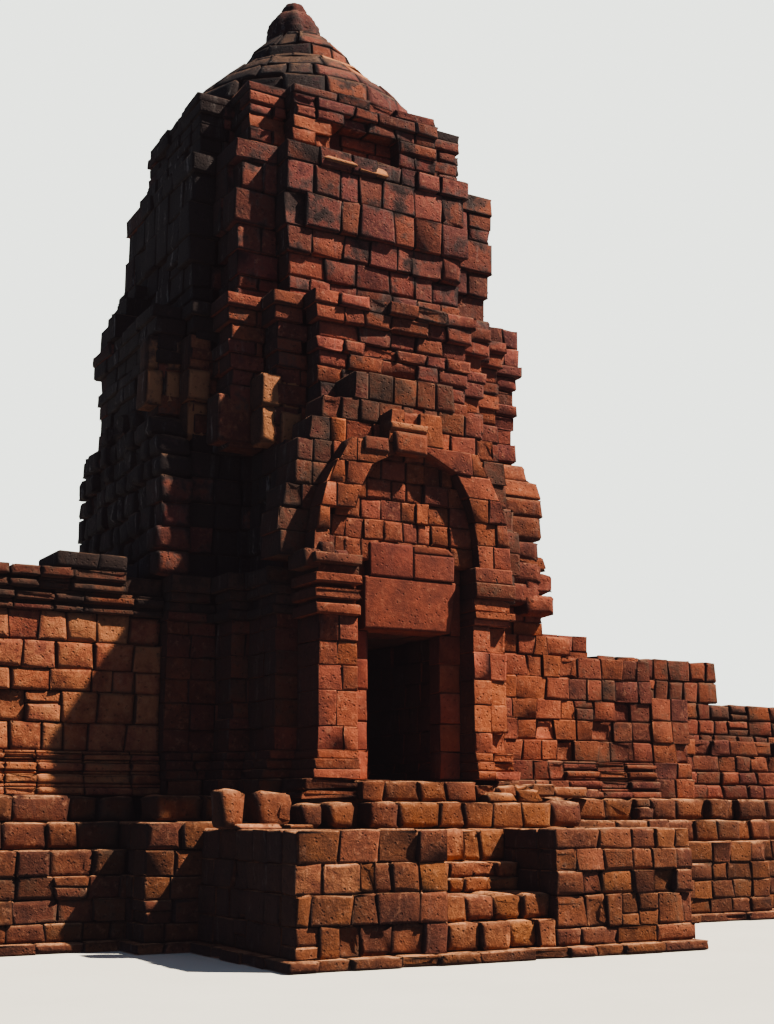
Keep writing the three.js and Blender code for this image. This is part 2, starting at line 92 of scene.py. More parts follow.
stainsAndShade = [  # boxes in x, y and z on the front where the stones have a colour of their own; a few of them paint shade where that part lies in shadow
    # painted shade: the storey's left front corner, which lies in the porch's shadow
    {"box": ((-2.7, -1.35), (-3.3, -1.6), (2.0, 4.0)), "tone": (0.3, 0.6), "grime": 0.45},
    # painted shade: the cornice on the left, darkened where the sun lights its tops
    {"box": ((-2.9, -1.35), (-3.5, -1.6), (4.0, 4.7)), "tone": (0.1, 0.4), "grime": 0.85},
    # painted shade: the upper body left of the porch, which lies in shadow
    {"box": ((-3.0, -1.4), (-2.95, -1.5), (4.65, 6.4)), "tone": (0.05, 0.35), "grime": 1.1},
    {"box": ((-2.0, -0.3), (-2.1, 0.5), (12.05, 13.9)), "tone": (0.1, 0.4), "grime": 0.95},
    {"box": ((0.1, 1.5), (-1.7, -0.5), (12.7, 13.1)), "tone": (0.8, 1.0), "pale": 0.6,
     "grime": 0.1},
    {"box": ((1.1, 2.1), (-1.7, -0.2), (12.05, 12.4)), "tone": (0.75, 1.0), "pale": 0.15,
     "grime": 0.1},
    # soot with painted shade: the first tier's lowest courses on the left, below the shadow's edge
    {"box": ((-3.4, -1.9), (-1.75, -1.2), (6.4, 6.8)), "tone": (0.1, 0.4), "grime": 0.9},
    {"box": ((-3.4, -1.9), (-1.75, -1.2), (7.95, 8.6)), "tone": (0.05, 0.4), "grime": 1.0},
    {"box": ((-3.1, -2.05), (-1.6, -1.2), (8.5, 10.95)), "tone": (0.0, 0.35), "grime": 1.3},
    {"box": ((-2.9, -1.72), (-1.6, -0.9), (10.85, 12.1)), "tone": (0.0, 0.35), "grime": 1.3},
    {"box": ((-2.9, -2.3), (-1.9, -1.4), (4.7, 6.0)), "tone": (0.4, 0.6), "grime": 0.5},
    {"box": ((-2.2, -1.5), (-2.4, -2.0), (7.4, 8.6)), "tone": (0.6, 0.9), "grime": 0.1},
    {"box": ((-1.1, -0.5), (-3.0, -2.3), (6.6, 9.5)), "tone": (0.6, 0.95), "grime": 0.08},
    {"box": ((-2.2, -1.4), (-2.3, -1.9), (8.6, 10.9)), "tone": (0.35, 0.65), "grime": 0.42},
    {"box": ((-1.7, -1.0), (-1.9, -1.6), (10.9, 12.0)), "tone": (0.6, 0.9), "grime": 0.1},
    {"box": ((-1.2, -0.5), (-2.2, -2.0), (10.9, 11.7)), "tone": (0.6, 0.85), "grime": 0.1},
    {"box": ((-2.0, -1.1), (-3.6, -3.3), (4.7, 7.4)), "tone": (0.2, 0.6), "grime": 0.68},
    {"box": ((1.3, 2.0), (-3.6, -3.3), (4.7, 7.4)), "tone": (0.2, 0.7), "grime": 0.68},
    {"box": ((0.8, 1.5), (-3.9, -3.6), (2.0, 4.3)), "tone": (0.85, 1.0), "pale": 0.2,
     "grime": -0.1},
    {"box": ((-1.1, 1.0), (-3.5, -2.7), (6.5, 7.5)), "tone": (0.3, 0.7), "grime": 0.66},
    {"box": ((-1.7, -1.0), (-4.0, -3.6), (4.5, 4.9)), "tone": (0.2, 0.5), "grime": 0.55},
    {"box": ((0.8, 1.6), (-4.0, -3.6), (4.3, 4.6)), "tone": (0.2, 0.4), "grime": 0.55},
    {"box": ((2.2, 4.05), (-2.4, -1.5), (2.3, 4.7)), "tone": (0.6, 0.95), "grime": 0.05},
    {"box": ((-10.6, -3.0), (-3.2, -1.6), (0.1, 1.8)), "tone": (0.2, 0.65), "grime": 0.45},
    {"box": ((-2.64, -1.8), (-5.9, -5.6), (0.7, 1.1)), "tone": (0.6, 0.8), "pale": 0.45,
     "grime": 0.2},
    {"box": ((-1.15, -0.8), (-5.9, -5.6), (0.4, 1.1)), "tone": (0.75, 0.95), "grime": 0.0},
    {"box": ((-0.9, 1.7), (-4.2, -3.8), (1.4, 2.0)), "tone": (0.5, 0.8), "pale": 0.25,
     "grime": 0.2},
]


def stoneBlank():  # one block whose faces are cut three by three, with corners at 1 and -1
    bm = bmesh.new()
    bmesh.ops.create_cube(bm, size=2.0)
    bmesh.ops.subdivide_edges(bm, edges=bm.edges[:], cuts=2, use_grid_fill=True)
    bm.verts.index_update()
    points = np.array([v.co[:] for v in bm.verts])
    faces = np.array([[v.index for v in f.verts] for f in bm.faces])
    bm.free()
    return points, faces


blankPoints, blankFaces = stoneBlank()
onRim = (np.abs(blankPoints) > cutting["rim"]).astype(float)  # which of x, y and z lie outside
rimCount = onRim.sum(axis=1)
onFace = ((blankPoints[:, 1] < -cutting["rim"]) & (rimCount == 1)).astype(float)


def lookOf(**changes):
    return {**plainLook, **changes}


def addPiece(piece, node):  # every piece rides on the one body and takes its node's place
    bpy.context.scene.collection.objects.link(piece)
    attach(piece, "root")
    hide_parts(node)


def carve(rng, own, sizes):  # the block of every stone with rounded, chipped and eaten faces
    radius = np.minimum(own["round"][:, 0], cutting["roundMost"] * sizes.min(axis=1))
    side = np.sign(blankPoints)[None]
    outward = side * onRim[None]
    outward = outward / np.linalg.norm(outward, axis=2, keepdims=True)
    inner = np.maximum(sizes - radius[:, None], cutting["leastFlat"])
    inset = np.clip(cutting["inset"] * radius[:, None] / inner, 0, cutting["insetMost"])
    within = (rimCount == 1)[:, None] & (onRim < 1)
    shape = side * inner[:, None] * (1 - inset[:, None] * within[None])
    shape += outward * radius[:, None, None]
    rough = np.clip(rng.normal(size=shape.shape), -cutting["roughMost"], cutting["roughMost"])
    fullness = np.minimum(1, sizes * cutting["fullWear"])
    shape += rough * own["wear"][:, :, None] * fullness[:, None]
    chips = np.maximum(0, rng.normal(size=shape.shape[:2]) - cutting["chipFrom"])
    chips *= (rimCount[None] - 1) * own["wear"] * cutting["chip"]
    shape -= outward * chips[:, :, None]
    hollow = rng.uniform(0.0, cutting["hollow"], size=shape.shape[:2])
    hollow = hollow * onFace[None] * own["eaten"]
    shape[:, :, 1] += np.minimum(hollow, sizes[:, 1:2])
    return shape


def setDown(own, share):  # carved blocks, as shares from 0 to 1, brought to their places
    u, v, w = share[:, :, 0], share[:, :, 1], share[:, :, 2]
    left = own["leftLow"] + (own["leftHigh"] - own["leftLow"]) * w
    right = own["rightLow"] + (own["rightHigh"] - own["rightLow"]) * w
    middle = (left + right) / 2
    x = left + (right - left) * u
    x = (x - middle) * (1 + (own["taper"] - 1) * v) + middle
    front = own["faceLow"] + (own["faceHigh"] - own["faceLow"]) * w
    y = front + (own["back"] - front) * v
    z = own["low"] + (own["high"] - own["low"]) * w
    y = y + (x - middle) * own["yaw"] + (z - (own["low"] + own["high"]) / 2) * own["lean"]
    cosine, sine = np.cos(own["turn"]), np.sin(own["turn"])
    return np.stack([
        own["x"] + x * cosine - y * sine, own["y"] + x * sine + y * cosine, z], axis=2)


class Pile:  # the stones of one piece
    def __init__(self, seed, stained=True):
        self.rng = np.random.default_rng(seed)
        self.stained = stained
        self.rows = []

    def stain(self, *place):
        found = {}
        for area in stainsAndShade if self.stained else ():
            if all(low <= value <= high for value, (low, high) in zip(place, area["box"])):
                found = area
        return found

    def stone(self, place, turn, left, right, face, back, low, high, look, taper=1.0, **more):
        # left, right and face are given below and above, along and into the wall from its place
        rng = self.rng
        middle = (left[0] + left[1] + right[0] + right[1]) / 4
        x, y = place[0] + middle * math.cos(turn), place[1] + middle * math.sin(turn)
        own = {**look, **self.stain(x, y, (low + high) / 2), **more}
        grime = own["grime"]
        # walls that face left get more grime, which also paints the shade of the side turned from
        # the sun
        if math.sin(turn) < straying["leftTurn"] and y > straying["leftFrom"]:
            grime += own["leftward"]
        eaten = rng.random() < own["worn"]
        most = straying["outMost"]
        jut = float(np.clip(rng.normal(), -most, most)) * own["out"]
        half = own["gap"] / 2
        rounding = own["round"] * rng.uniform(*straying["round"])
        rounding *= straying["eatenRound"] if eaten else 1.0
        sink = rng.uniform(*straying["eatenSink"]) if eaten else 0.0
        self.rows.append({
            "x": place[0], "y": place[1], "turn": turn,
            "leftLow": left[0] + half, "leftHigh": left[1] + half,
            "rightLow": right[0] - half, "rightHigh": right[1] - half,
            "faceLow": face[0] - jut + sink, "faceHigh": face[1] - jut + sink, "back": back,
            "low": low + half * rng.uniform(*straying["joint"]),
            "high": high - half * rng.uniform(*straying["joint"]),
            "round": rounding, "wear": own["wear"] * (straying["eatenWear"] if eaten else 1.0),
            "tone": rng.uniform(*own["tone"]), "pale": own["pale"] * rng.uniform(*straying["pale"]),
            "grime": grime + rng.normal() * straying["grime"], "hue": rng.random(),
            "eaten": float(eaten), "lean": rng.normal() * own["tilt"],
            "yaw": rng.normal() * own["tilt"], "taper": taper,
        })

    def block(self, x0, x1, face, back, low, high, look, lean=(0, 0), **more):
        # one stone that faces the front; an end is given once, or below and above
        left, right = (end if isinstance(end, tuple) else (end, end) for end in (x0, x1))
        self.stone((0, face), 0.0, left, right, lean, back, low, high, look, **more)

    def blocks(self, stones, look, **more):
        for stone in stones:
            self.block(*stone, look, **more)

    def build(self, node, finish, slot, ending="_stones"):
        name = node + ending
        own = {key: np.array([[row[key]] for row in self.rows], dtype=float)
               for key in self.rows[0]}
        sizes = np.concatenate([
            (own["rightLow"] - own["leftLow"] + own["rightHigh"] - own["leftHigh"]) / 4,
            (own["back"] - (own["faceLow"] + own["faceHigh"]) / 2) / 2,
            (own["high"] - own["low"]) / 2,
        ], axis=1)
        sizes = np.maximum(sizes, cutting["leastHalf"])
        share = (carve(self.rng, own, sizes) / sizes[:, None] + 1) / 2
        points = setDown(own, share).reshape(-1, 3)
        count, step = len(self.rows), len(blankPoints)
        faces = (blankFaces[None] + step * np.arange(count)[:, None, None]).reshape(-1, 4)
        mesh = bpy.data.meshes.new(name)
        mesh.from_pydata(points.tolist(), [], faces.tolist())
        mesh.polygons.foreach_set("use_smooth", np.ones(len(faces), dtype=bool))
        layers = {label: np.repeat(own[label], step) for label in ("tone", "pale", "grime", "hue")}
        layers["edge"] = np.tile((rimCount > 1).astype(float), count)
        for label, values in layers.items():
            layer = mesh.attributes.new(label, "FLOAT", "POINT")
            layer.data.foreach_set("value", values.astype(np.float32))
        mesh.materials.append(finish)
        addPiece(bpy.data.objects.new(name, mesh), node)
        print(name, count, "stones")


# laying stones

laying = {
    "uneven": (0.62, 1.38),   # lengths of the stones in a course, as shares of their mean
    "leastEnd": 0.05,         # a given joint nearer to the course's end is left out
    "slantMost": 1.6,         # a joint leans at most this many times the look's slant
    "splitAt": (0.36, 0.64),  # where stones laid as two are parted
    "splitFrom": 0.22,        # lower courses have none
    "same": 0.02,             # points as near as this are the same corner
    "leastSide": 0.03,        # shorter sides of a plan get no stones
    "leastSpan": 0.08,        # and neither do shorter pieces of a side
    "tuck": 1.2,              # beside a side of this many depths, a stone can reach behind it
    "leastFill": 0.05,
    "pavedRow": 0.5,          # depth of a row of paving
    "pavedJoint": 0.004,
    "sunk": 0.01,             # how unevenly paving lies
}
fillLook = lookOf(gap=0.0, out=0.0, tilt=0.0, worn=0.0, wear=0.004, tone=(0.2, 0.25), grime=0.6)
pavedLook = lookOf(size=0.6, worn=0.0, out=0.0, tilt=0.006)


def jointsAlong(rng, length, size):  # a length cut into stones of uneven lengths
    count = max(1, round(length / size))
    shares = rng.uniform(*laying["uneven"], count)
    return np.concatenate([[0], np.cumsum(shares / shares.sum())]) * length


def layRun(pile, start, end, low, high, look, cuts=None, **more):
    # the face is on the right of the way from start to end
    (ax, ay), (bx, by) = start, end
    length = math.hypot(bx - ax, by - ay)
    turn = math.atan2(by - ay, bx - ax)
    joints = jointsAlong(pile.rng, length, look["size"])
    if cuts is not None:
        first, final = laying["leastEnd"], length - laying["leastEnd"]
        joints = np.array([0.0, *[cut for cut in cuts if first < cut < final], length])
    most = laying["slantMost"]
    swing = np.clip(pile.rng.normal(size=len(joints)), -most, most) * look["slant"]
    swing[0] = swing[-1] = 0
    for i, (left, right) in enumerate(zip(joints[:-1], joints[1:])):
        if pile.rng.random() < look["lost"]:
            continue
        ends = ((left - swing[i], left + swing[i]), (right - swing[i + 1], right + swing[i + 1]))
        cut = pile.rng.uniform(*laying["splitAt"])
        layers = [(0.0, 1.0)]
        if pile.rng.random() < look["split"] and high - low > laying["splitFrom"]:
            layers = [(0.0, cut), (cut, 1.0)]
        for bottom, top in layers:
            sides = [[below + (above - below) * share for share in (bottom, top)]
                     for below, above in ends]
            pile.stone((ax, ay), turn, *sides, (0, 0), look["depth"],
                       low + (high - low) * bottom, low + (high - low) * top, look, **more)


def layFront(pile, x0, x1, face, low, high, look, cuts=None, **more):  # a run that faces the front
    layRun(pile, (x0, -face), (x1, -face), low, high, look, cuts, **more)


def isSame(a, b):
    return abs(a[0] - b[0]) + abs(a[1] - b[1]) < laying["same"]


def layRing(pile, corners, low, high, look, parity, skip=(), holes=()):
    # a course along a closed plan; its corner stones belong by turns to one wall and the other
    # skip: starts of the sides left out; holes: start of a side, then where it opens and closes
    count = len(corners)
    depth = look["depth"]
    for i in range(count):
        before, a, b, after = (corners[(i + k) % count] for k in (-1, 0, 1, 2))
        length = math.hypot(b[0] - a[0], b[1] - a[1])
        if length < laying["leastSide"] or any(isSame(a, start) for start in skip):
            continue
        way = ((b[0] - a[0]) / length, (b[1] - a[1]) / length)
        owns = (i + parity) % 2 == 0
        lastLength = math.hypot(a[0] - before[0], a[1] - before[1])
        nextLength = math.hypot(after[0] - b[0], after[1] - b[1])
        convexStart = (a[0] - before[0]) * way[1] - (a[1] - before[1]) * way[0] > 0
        convexEnd = way[0] * (after[1] - b[1]) - way[1] * (after[0] - b[0]) > 0
        first, final = 0.0, length
        if convexStart and not owns:
            first = depth
        if convexEnd and not owns:
            final = length - depth
        if owns and not convexStart and lastLength > laying["tuck"] * depth:
            first = -depth
        if owns and not convexEnd and nextLength > laying["tuck"] * depth:
            final = length + depth
        spans = [(first, final)]
        for corner, near, far in holes:
            if isSame(a, corner):
                spans = [(first, near), (far, final)]
        for near, far in spans:
            if far - near > laying["leastSpan"]:
                layRun(pile, (a[0] + way[0] * near, a[1] + way[1] * near),
                       (a[0] + way[0] * far, a[1] + way[1] * far), low, high, look)


def levels(low, high, size):  # the heights of even courses
    count = max(1, round((high - low) / size))
    return [(low + (high - low) * i / count, low + (high - low) * (i + 1) / count)
            for i in range(count)]


def unevenLevels(seed, low, high, size):  # halfway between even and random heights
    heights = jointsAlong(np.random.default_rng(seed), high - low, size)
    heights = (heights + np.linspace(0, high - low, len(heights))) / 2 + low
    return list(zip(heights[:-1], heights[1:]))


def coursesOf(heights):  # heights one above the other, as courses without a lip
    return [(low, high, 0.0) for low, high in zip(heights[:-1], heights[1:])]


def mirrored(sign, near, far):  # a range of x or y on one side or the other
    return sorted((sign * near, sign * far))


def fill(pile, x0, x1, y0, y1, low, high):  # rough filling behind the faces
    if min(x1 - x0, y1 - y0) >= laying["leastFill"]:
        pile.stone((x0, y0), 0.0, (0, 0), (x1 - x0, x1 - x0), (0, 0), y1 - y0, low, high, fillLook)


def pave(pile, x0, x1, y0, y1, low, high, look=pavedLook):
    rows = jointsAlong(pile.rng, y1 - y0, laying["pavedRow"])
    for near, far in zip(rows[:-1], rows[1:]):
        near, far = near + laying["pavedJoint"], far - laying["pavedJoint"]
        joints = jointsAlong(pile.rng, x1 - x0, look["size"])
        for left, right in zip(joints[:-1], joints[1:]):
            sunk = abs(pile.rng.normal()) * laying["sunk"]
            pile.stone((x0, y0), 0.0, (left, left), (right, right), (near, near), far,
                       low, high - sunk, look)


def turnHalf(pile):  # the whole pile turned half round for the back
    for row in pile.rows:
        row["x"], row["y"], row["turn"] = -row["x"], -row["y"], row["turn"] + math.pi


# plan outlines, as the part has them

def fourQuarters(quarter):
    back = quarter[::-1]
    return ([*quarter] + [(-x, y) for x, y in back]
            + [(-x, -y) for x, y in quarter] + [(x, -y) for x, y in back])


def steppedPlan(steps, lip=0.0, endLip=None):  # endLip: how far the two ends stand out
    quarter = []
    for i, (half, reach) in enumerate(steps):
        out = lip if i or endLip is None else endLip
        if i:
            quarter.append((half + out, steps[i - 1][1] + lip))
        quarter.append((half + out, reach + lip))
    return fourQuarters(quarter)


def tierPlan(tier, lip=0.0):  # a square with stepped projections on its sides and fronts
    corner, side = tier["corner"], tier["side"][::-1]
    quarter = []
    for i, (half, reach) in enumerate(side):
        following = side[i + 1][1] if i + 1 < len(side) else corner
        quarter += [(reach + lip, half + lip), (following + lip, half + lip)]
    quarter.append((corner + lip, corner + lip))
    for i, (half, reach) in enumerate(tier["front"]):
        last = tier["front"][i - 1][1] if i else corner
        quarter += [(half + lip, last + lip), (half + lip, reach + lip)]
    leftmost = -side[0][1] - lip
    loss = tier.get("leftLoss", 0)
    return [(x + tier["shift"] + (loss if math.isclose(x, leftmost) else 0), y)
            for x, y in fourQuarters(quarter)]


# shader maths

class Value:  # a socket that can be added, multiplied and so on
    def __init__(self, paint, socket):
        self.paint = paint
        self.socket = socket

    def maths(self, operation, first, second):
        return self.paint.node("ShaderNodeMath", {"operation": operation}, {0: first, 1: second})

    def __add__(self, other):
        return self.maths("ADD", self, other)

    __radd__ = __add__

    def __sub__(self, other):
        return self.maths("SUBTRACT", self, other)

    def __rsub__(self, other):
        return self.maths("SUBTRACT", other, self)

    def __mul__(self, other):
        return self.maths("MULTIPLY", self, other)

    __rmul__ = __mul__


class Paint:  # one material's nodes
    def __init__(self, name):
        self.material = bpy.data.materials.new(name)
        self.material.use_nodes = True
        self.tree = self.material.node_tree
        self.tree.nodes.clear()

    def node(self, kind, settings=None, inputs=None, output=0):
        made = self.tree.nodes.new(kind)
        for key, value in (settings or {}).items():
            if key == "stops":
                ramp = made.color_ramp
                while len(ramp.elements) < len(value):
                    ramp.elements.new(0.5)
                for element, (position, colour) in zip(ramp.elements, value):
                    element.position = position
                    element.color = (*colour, 1)
            else:
                setattr(made, key, value)
        for key, value in (inputs or {}).items():
            if isinstance(value, Value):
                self.tree.links.new(value.socket, made.inputs[key])
            elif value is not None:
                made.inputs[key].default_value = value
        return Value(self, made.outputs[output])

    def attribute(self, name):
        return self.node("ShaderNodeAttribute", {"attribute_name": name}, output="Fac")

    def noise(self, place, scale, detail=4.0, roughness=0.55):
        return self.node("ShaderNodeTexNoise", {}, {
            "Vector": place, "Scale": scale, "Detail": detail, "Roughness": roughness})

    def between(self, value, low, high):  # 0 below low, 1 above high
        return self.node("ShaderNodeMapRange", {"interpolation_type": "SMOOTHSTEP"}, {
            "Value": value, "From Min": low, "From Max": high})

    def mix(self, share, first, second, blend="MIX"):
        made = self.tree.nodes.new("ShaderNodeMix")
        made.data_type = "RGBA"
        made.blend_type = blend
        for key, value in ((0, share), (6, first), (7, second)):
            if isinstance(value, Value):
                self.tree.links.new(value.socket, made.inputs[key])
            elif key == 0:
                made.inputs[key].default_value = value
            else:
                made.inputs[key].default_value = (*value, 1)
        return Value(self, made.outputs[2])

    def finish(self, colour, roughness, normal):
        shader = self.node("ShaderNodeBsdfPrincipled", {}, {
            "Base Color": colour, "Roughness": roughness, "Normal": normal,
            "Specular IOR Level": 0.15})
        output = self.tree.nodes.new("ShaderNodeOutputMaterial")
        self.tree.links.new(shader.socket, output.inputs["Surface"])
        return self.material


laterite = {
    "tones": [(0.0, (0.060, 0.019, 0.013)), (0.35, (0.150, 0.041, 0.022)),
              (0.7, (0.300, 0.080, 0.036)), (1.0, (0.440, 0.135, 0.060))],
    "stir": {"tone": 0.60, "patches": 1.15, "broad": 0.65, "grain": 0.45},  # what picks the tone
    "lift": 0.12,                # lightens every stone
    "warm": (1.02, 1.06, 0.88),  # stones lean from this tint to the rose one
    "rose": (0.98, 0.94, 1.12),
    "speckle": 0.42,             # small light and dark marks
    "fleck": (0.46, 0.220, 0.125),
    "fleckDark": (0.040, 0.017, 0.013),
    "ochre": (0.42, 0.172, 0.075),
    "ochrePatches": 0.6,
    "mottle": 1.2,               # how blotched it is
    "mottleBroad": 0.7,
    "creep": 0.10,               # more lichen along the joints
    "lichen": (0.064, 0.040, 0.026),
    "soot": (0.016, 0.012, 0.011),
    "sootMore": 0.0,             # more black on it
    "sootBlotch": 0.8,
    "leftFaces": 0.9,            # how black the faces on the left are: soot with painted shade of the side turned from the sun
    # the near-black of that painted shade and soot
    "leftBlack": (0.012, 0.011, 0.013),
    "streaks": 0.25,             # pale runs
    "streakTone": (0.30, 0.26, 0.23),
    "streakStretch": (4.2, 4.2, 0.6),
    "streaksOnLeft": 0.8,        # how much more there is of them on the left
    "streaksElsewhere": 0.3,
    "dust": 0.30,                # sandy dust on what lies flat
    "sand": (0.50, 0.25, 0.13),
    "joint": 0.30,               # how dark the joints are
    "jointTone": (0.016, 0.010, 0.009),
    "flatJoint": 0.7,            # how much fainter joints are on what lies flat
    "bump": 0.8,
    "bumpDepth": 0.035,
    "relief": {"grain": 0.9, "grit": 0.4, "patches": 0.8, "pits": 0.8},
    "roughness": 0.88,
    "roughnessGrit": 0.2,
    "bands": {                   # where each of them grows from 0 to 1
        "pores": (0.10, 0.24), "marks": (0.03, 0.22), "ochre": (0.30, 0.75),
        "lichen": (0.42, 0.80), "soot": (0.68, 0.98), "left": (0.35, 0.8),
        "streaks": (0.06, 0.24), "flat": (0.45, 0.95), "dust": (-0.25, 0.2),
        "joint": (0.5, 1.0)},
    "ragged": {"ochre": 0.5, "lichen": 0.6, "soot": 0.5, "streaks": 0.3},  # grain in their edges
    "cover": {"lichen": 0.75, "soot": 0.85, "left": 0.9, "pits": 0.24},  # the most that each hides
    "patterns": {                # scale, detail and roughness of the noises
        "broad": (0.5, 3.0, 0.55), "patches": (2.8, 5.0, 0.6), "grain": (13.0, 6.0, 0.7),
        "grit": (48.0, 4.0, 0.7), "streaks": (1.6, 5.0, 0.7)},
    "pores": 13.0,
}


def lateriteFinish(name, **changes):
    look = {**laterite, **changes}
    bands, ragged, cover = look["bands"], look["ragged"], look["cover"]
    paint = Paint(name)
    place = paint.node("ShaderNodeTexCoord", output="Object")
    tone, edge, pale, grime, hue = (
        paint.attribute(label) for label in ("tone", "edge", "pale", "grime", "hue"))
    normal = paint.node("ShaderNodeNewGeometry", output="Normal")
    upward = paint.node("ShaderNodeSeparateXYZ", {}, {0: normal}, output="Z")
    rightward = paint.node("ShaderNodeSeparateXYZ", {}, {0: normal}, output="X")

    # noises between -0.5 and 0.5, from the largest to the finest, then the pores
    broad, patches, grain, grit = (
        paint.noise(place, *look["patterns"][label]) - 0.5
        for label in ("broad", "patches", "grain", "grit"))
    pores = paint.node("ShaderNodeTexVoronoi", {"feature": "F1"}, {
        "Vector": place, "Scale": look["pores"], "Randomness": 1.0}, output="Distance")
    pits = 1 - paint.between(pores, *bands["pores"])

    # the stone's own colour
    stir = look["stir"]
    colour = paint.node("ShaderNodeValToRGB", {"stops": look["tones"]}, {
        0: tone * stir["tone"] + patches * stir["patches"] + broad * stir["broad"]
           + grain * stir["grain"] + look["lift"]})
    colour = paint.mix(1.0, colour, paint.mix(hue, look["warm"], look["rose"]), "MULTIPLY")
    for marks, shade in ((grain, look["fleck"]), (grit, look["fleckDark"])):
        speckle = paint.between(marks, *bands["marks"]) * look["speckle"]
        colour = paint.mix(speckle, colour, shade)
    ochre = paint.between(pale + grain * ragged["ochre"] + patches * look["ochrePatches"],
                          *bands["ochre"])
    colour = paint.mix(ochre, colour, look["ochre"])

    # lichen, and soot where it is thickest
    blotch = patches * look["mottle"] + broad * look["mottleBroad"] + edge * look["creep"]
    lichen = paint.between(grime + blotch + grain * ragged["lichen"], *bands["lichen"])
    colour = paint.mix(lichen * cover["lichen"], colour, look["lichen"])
    soot = paint.between(
        grime + blotch * look["sootBlotch"] + grain * ragged["soot"] + look["sootMore"],
        *bands["soot"])
    colour = paint.mix(soot * cover["soot"], colour, look["soot"])

    # black on the faces on the left, soot with painted shade of the side turned from the sun, with
    # pale runs down them
    stretched = paint.node("ShaderNodeMapping", {"vector_type": "POINT"}, {
        "Vector": place, "Scale": look["streakStretch"]})
    runs = paint.noise(stretched, *look["patterns"]["streaks"]) - 0.5
    # faces turned from the sun are painted black: painted shade with soot
    shadeAndSootLeft = paint.between(rightward * -1, *bands["left"]) * look["leftFaces"]
    colour = paint.mix(shadeAndSootLeft * cover["left"], colour, look["leftBlack"])
    streaks = paint.between(runs + grain * ragged["streaks"], *bands["streaks"])
    spread = shadeAndSootLeft * look["streaksOnLeft"] + look["streaksElsewhere"]
    streaks = streaks * spread * look["streaks"]
    colour = paint.mix(streaks, colour, look["streakTone"])

    # dust on what lies flat, dark joints and pits
    flat = paint.between(upward, *bands["flat"])
    dust = flat * paint.between(grain + patches, *bands["dust"])
    colour = paint.mix(dust * look["dust"], colour, look["sand"])
    joint = paint.between(edge, *bands["joint"])
    dark = joint * (1 - flat * look["flatJoint"]) * look["joint"] + pits * cover["pits"]
    colour = paint.mix(dark, colour, look["jointTone"])

    relief = look["relief"]
    raised = grain * relief["grain"] + grit * relief["grit"] + patches * relief["patches"]
    raised = raised - pits * relief["pits"]
    bump = paint.node("ShaderNodeBump", {}, {
        "Strength": look["bump"], "Distance": look["bumpDepth"], "Height": raised})
    return paint.finish(colour, look["roughness"] - grit * look["roughnessGrit"], bump)


wallFinish = lateriteFinish("wallLaterite", mottle=1.6, creep=0.12)
terraceFinish = lateriteFinish("terraceLaterite", dust=0.8, mottle=1.5, tones=[
    (0.0, (0.048, 0.018, 0.011)), (0.35, (0.122, 0.039, 0.018)),
    (0.7, (0.235, 0.076, 0.029)), (1.0, (0.38, 0.138, 0.050))])
# the upper finishes paint the faces on the left fully black: soot with painted shade
upperFinish = lateriteFinish(
    "upperLaterite", leftFaces=1.0, streaks=0.5, sootMore=0.04, lichen=(0.068, 0.044, 0.036),
    mottle=2.3, creep=0.20, joint=0.45, tones=[
        (0.0, (0.058, 0.020, 0.016)), (0.35, (0.150, 0.041, 0.026)),
        (0.7, (0.305, 0.080, 0.040)), (1.0, (0.46, 0.140, 0.068))])
darkFinish = lateriteFinish(
    "darkLaterite", leftFaces=1.0, streaks=0.6, sootMore=0.06, lichen=(0.058, 0.038, 0.034),
    mottle=2.6, creep=0.24, joint=0.5, tones=[
        (0.0, (0.052, 0.021, 0.018)), (0.35, (0.140, 0.040, 0.028)),
        (0.7, (0.300, 0.083, 0.046)), (1.0, (0.47, 0.150, 0.080))])
dressedFinish = lateriteFinish("dressedStone", bump=0.45, streaks=0.1, speckle=0.2, tones=[
    (0.0, (0.09, 0.024, 0.016)), (0.35, (0.18, 0.044, 0.024)),
    (0.7, (0.30, 0.073, 0.036)), (1.0, (0.42, 0.115, 0.055))])
print("finishes made")


# camera, light and floor

viewpoint = {
    "place": (-9.123, -19.35, 1.6), "yaw": 29.1, "pitch": 11.91, "lens": 50.0, "sensor": 36.0,
    "farthest": 400.0}


def placeCamera():
    camera = bpy.data.objects.new("camera", bpy.data.cameras.new("camera"))
    bpy.context.scene.collection.objects.link(camera)
    camera.location = viewpoint["place"]
    camera.rotation_euler = (
        math.radians(90 + viewpoint["pitch"]), 0, math.radians(-viewpoint["yaw"]))
    camera.data.lens = viewpoint["lens"]
    camera.data.sensor_width = viewpoint["sensor"]
    camera.data.clip_end = viewpoint["farthest"]
    bpy.context.scene.camera = camera


light = {
    "towards": (1.42, -1.0, 2.15), "strength": 9.0, "softness": 1.2, "colour": (1.0, 0.93, 0.82),
    "sky": 0.25, "skyColour": (0.50, 0.68, 1.0),
    "backdrop": 1.9, "backdropColour": (0.96, 1.0, 0.93),
    "contrast": "AgX - Medium High Contrast",
    "blackLevel": (-0.0102, -0.0082, -0.0090),  # lifts the deepest blacks a little
}


def placeSun():
    sun = bpy.data.objects.new("sun", bpy.data.lights.new("sun", "SUN"))
    bpy.context.scene.collection.objects.link(sun)
    x, y, z = light["towards"]
    sun.rotation_euler = (math.atan2(math.hypot(x, y), z), 0, math.atan2(y, x) + math.pi / 2)
    sun.data.energy = light["strength"]
    sun.data.color = light["colour"]
    sun.data.angle = math.radians(light["softness"])


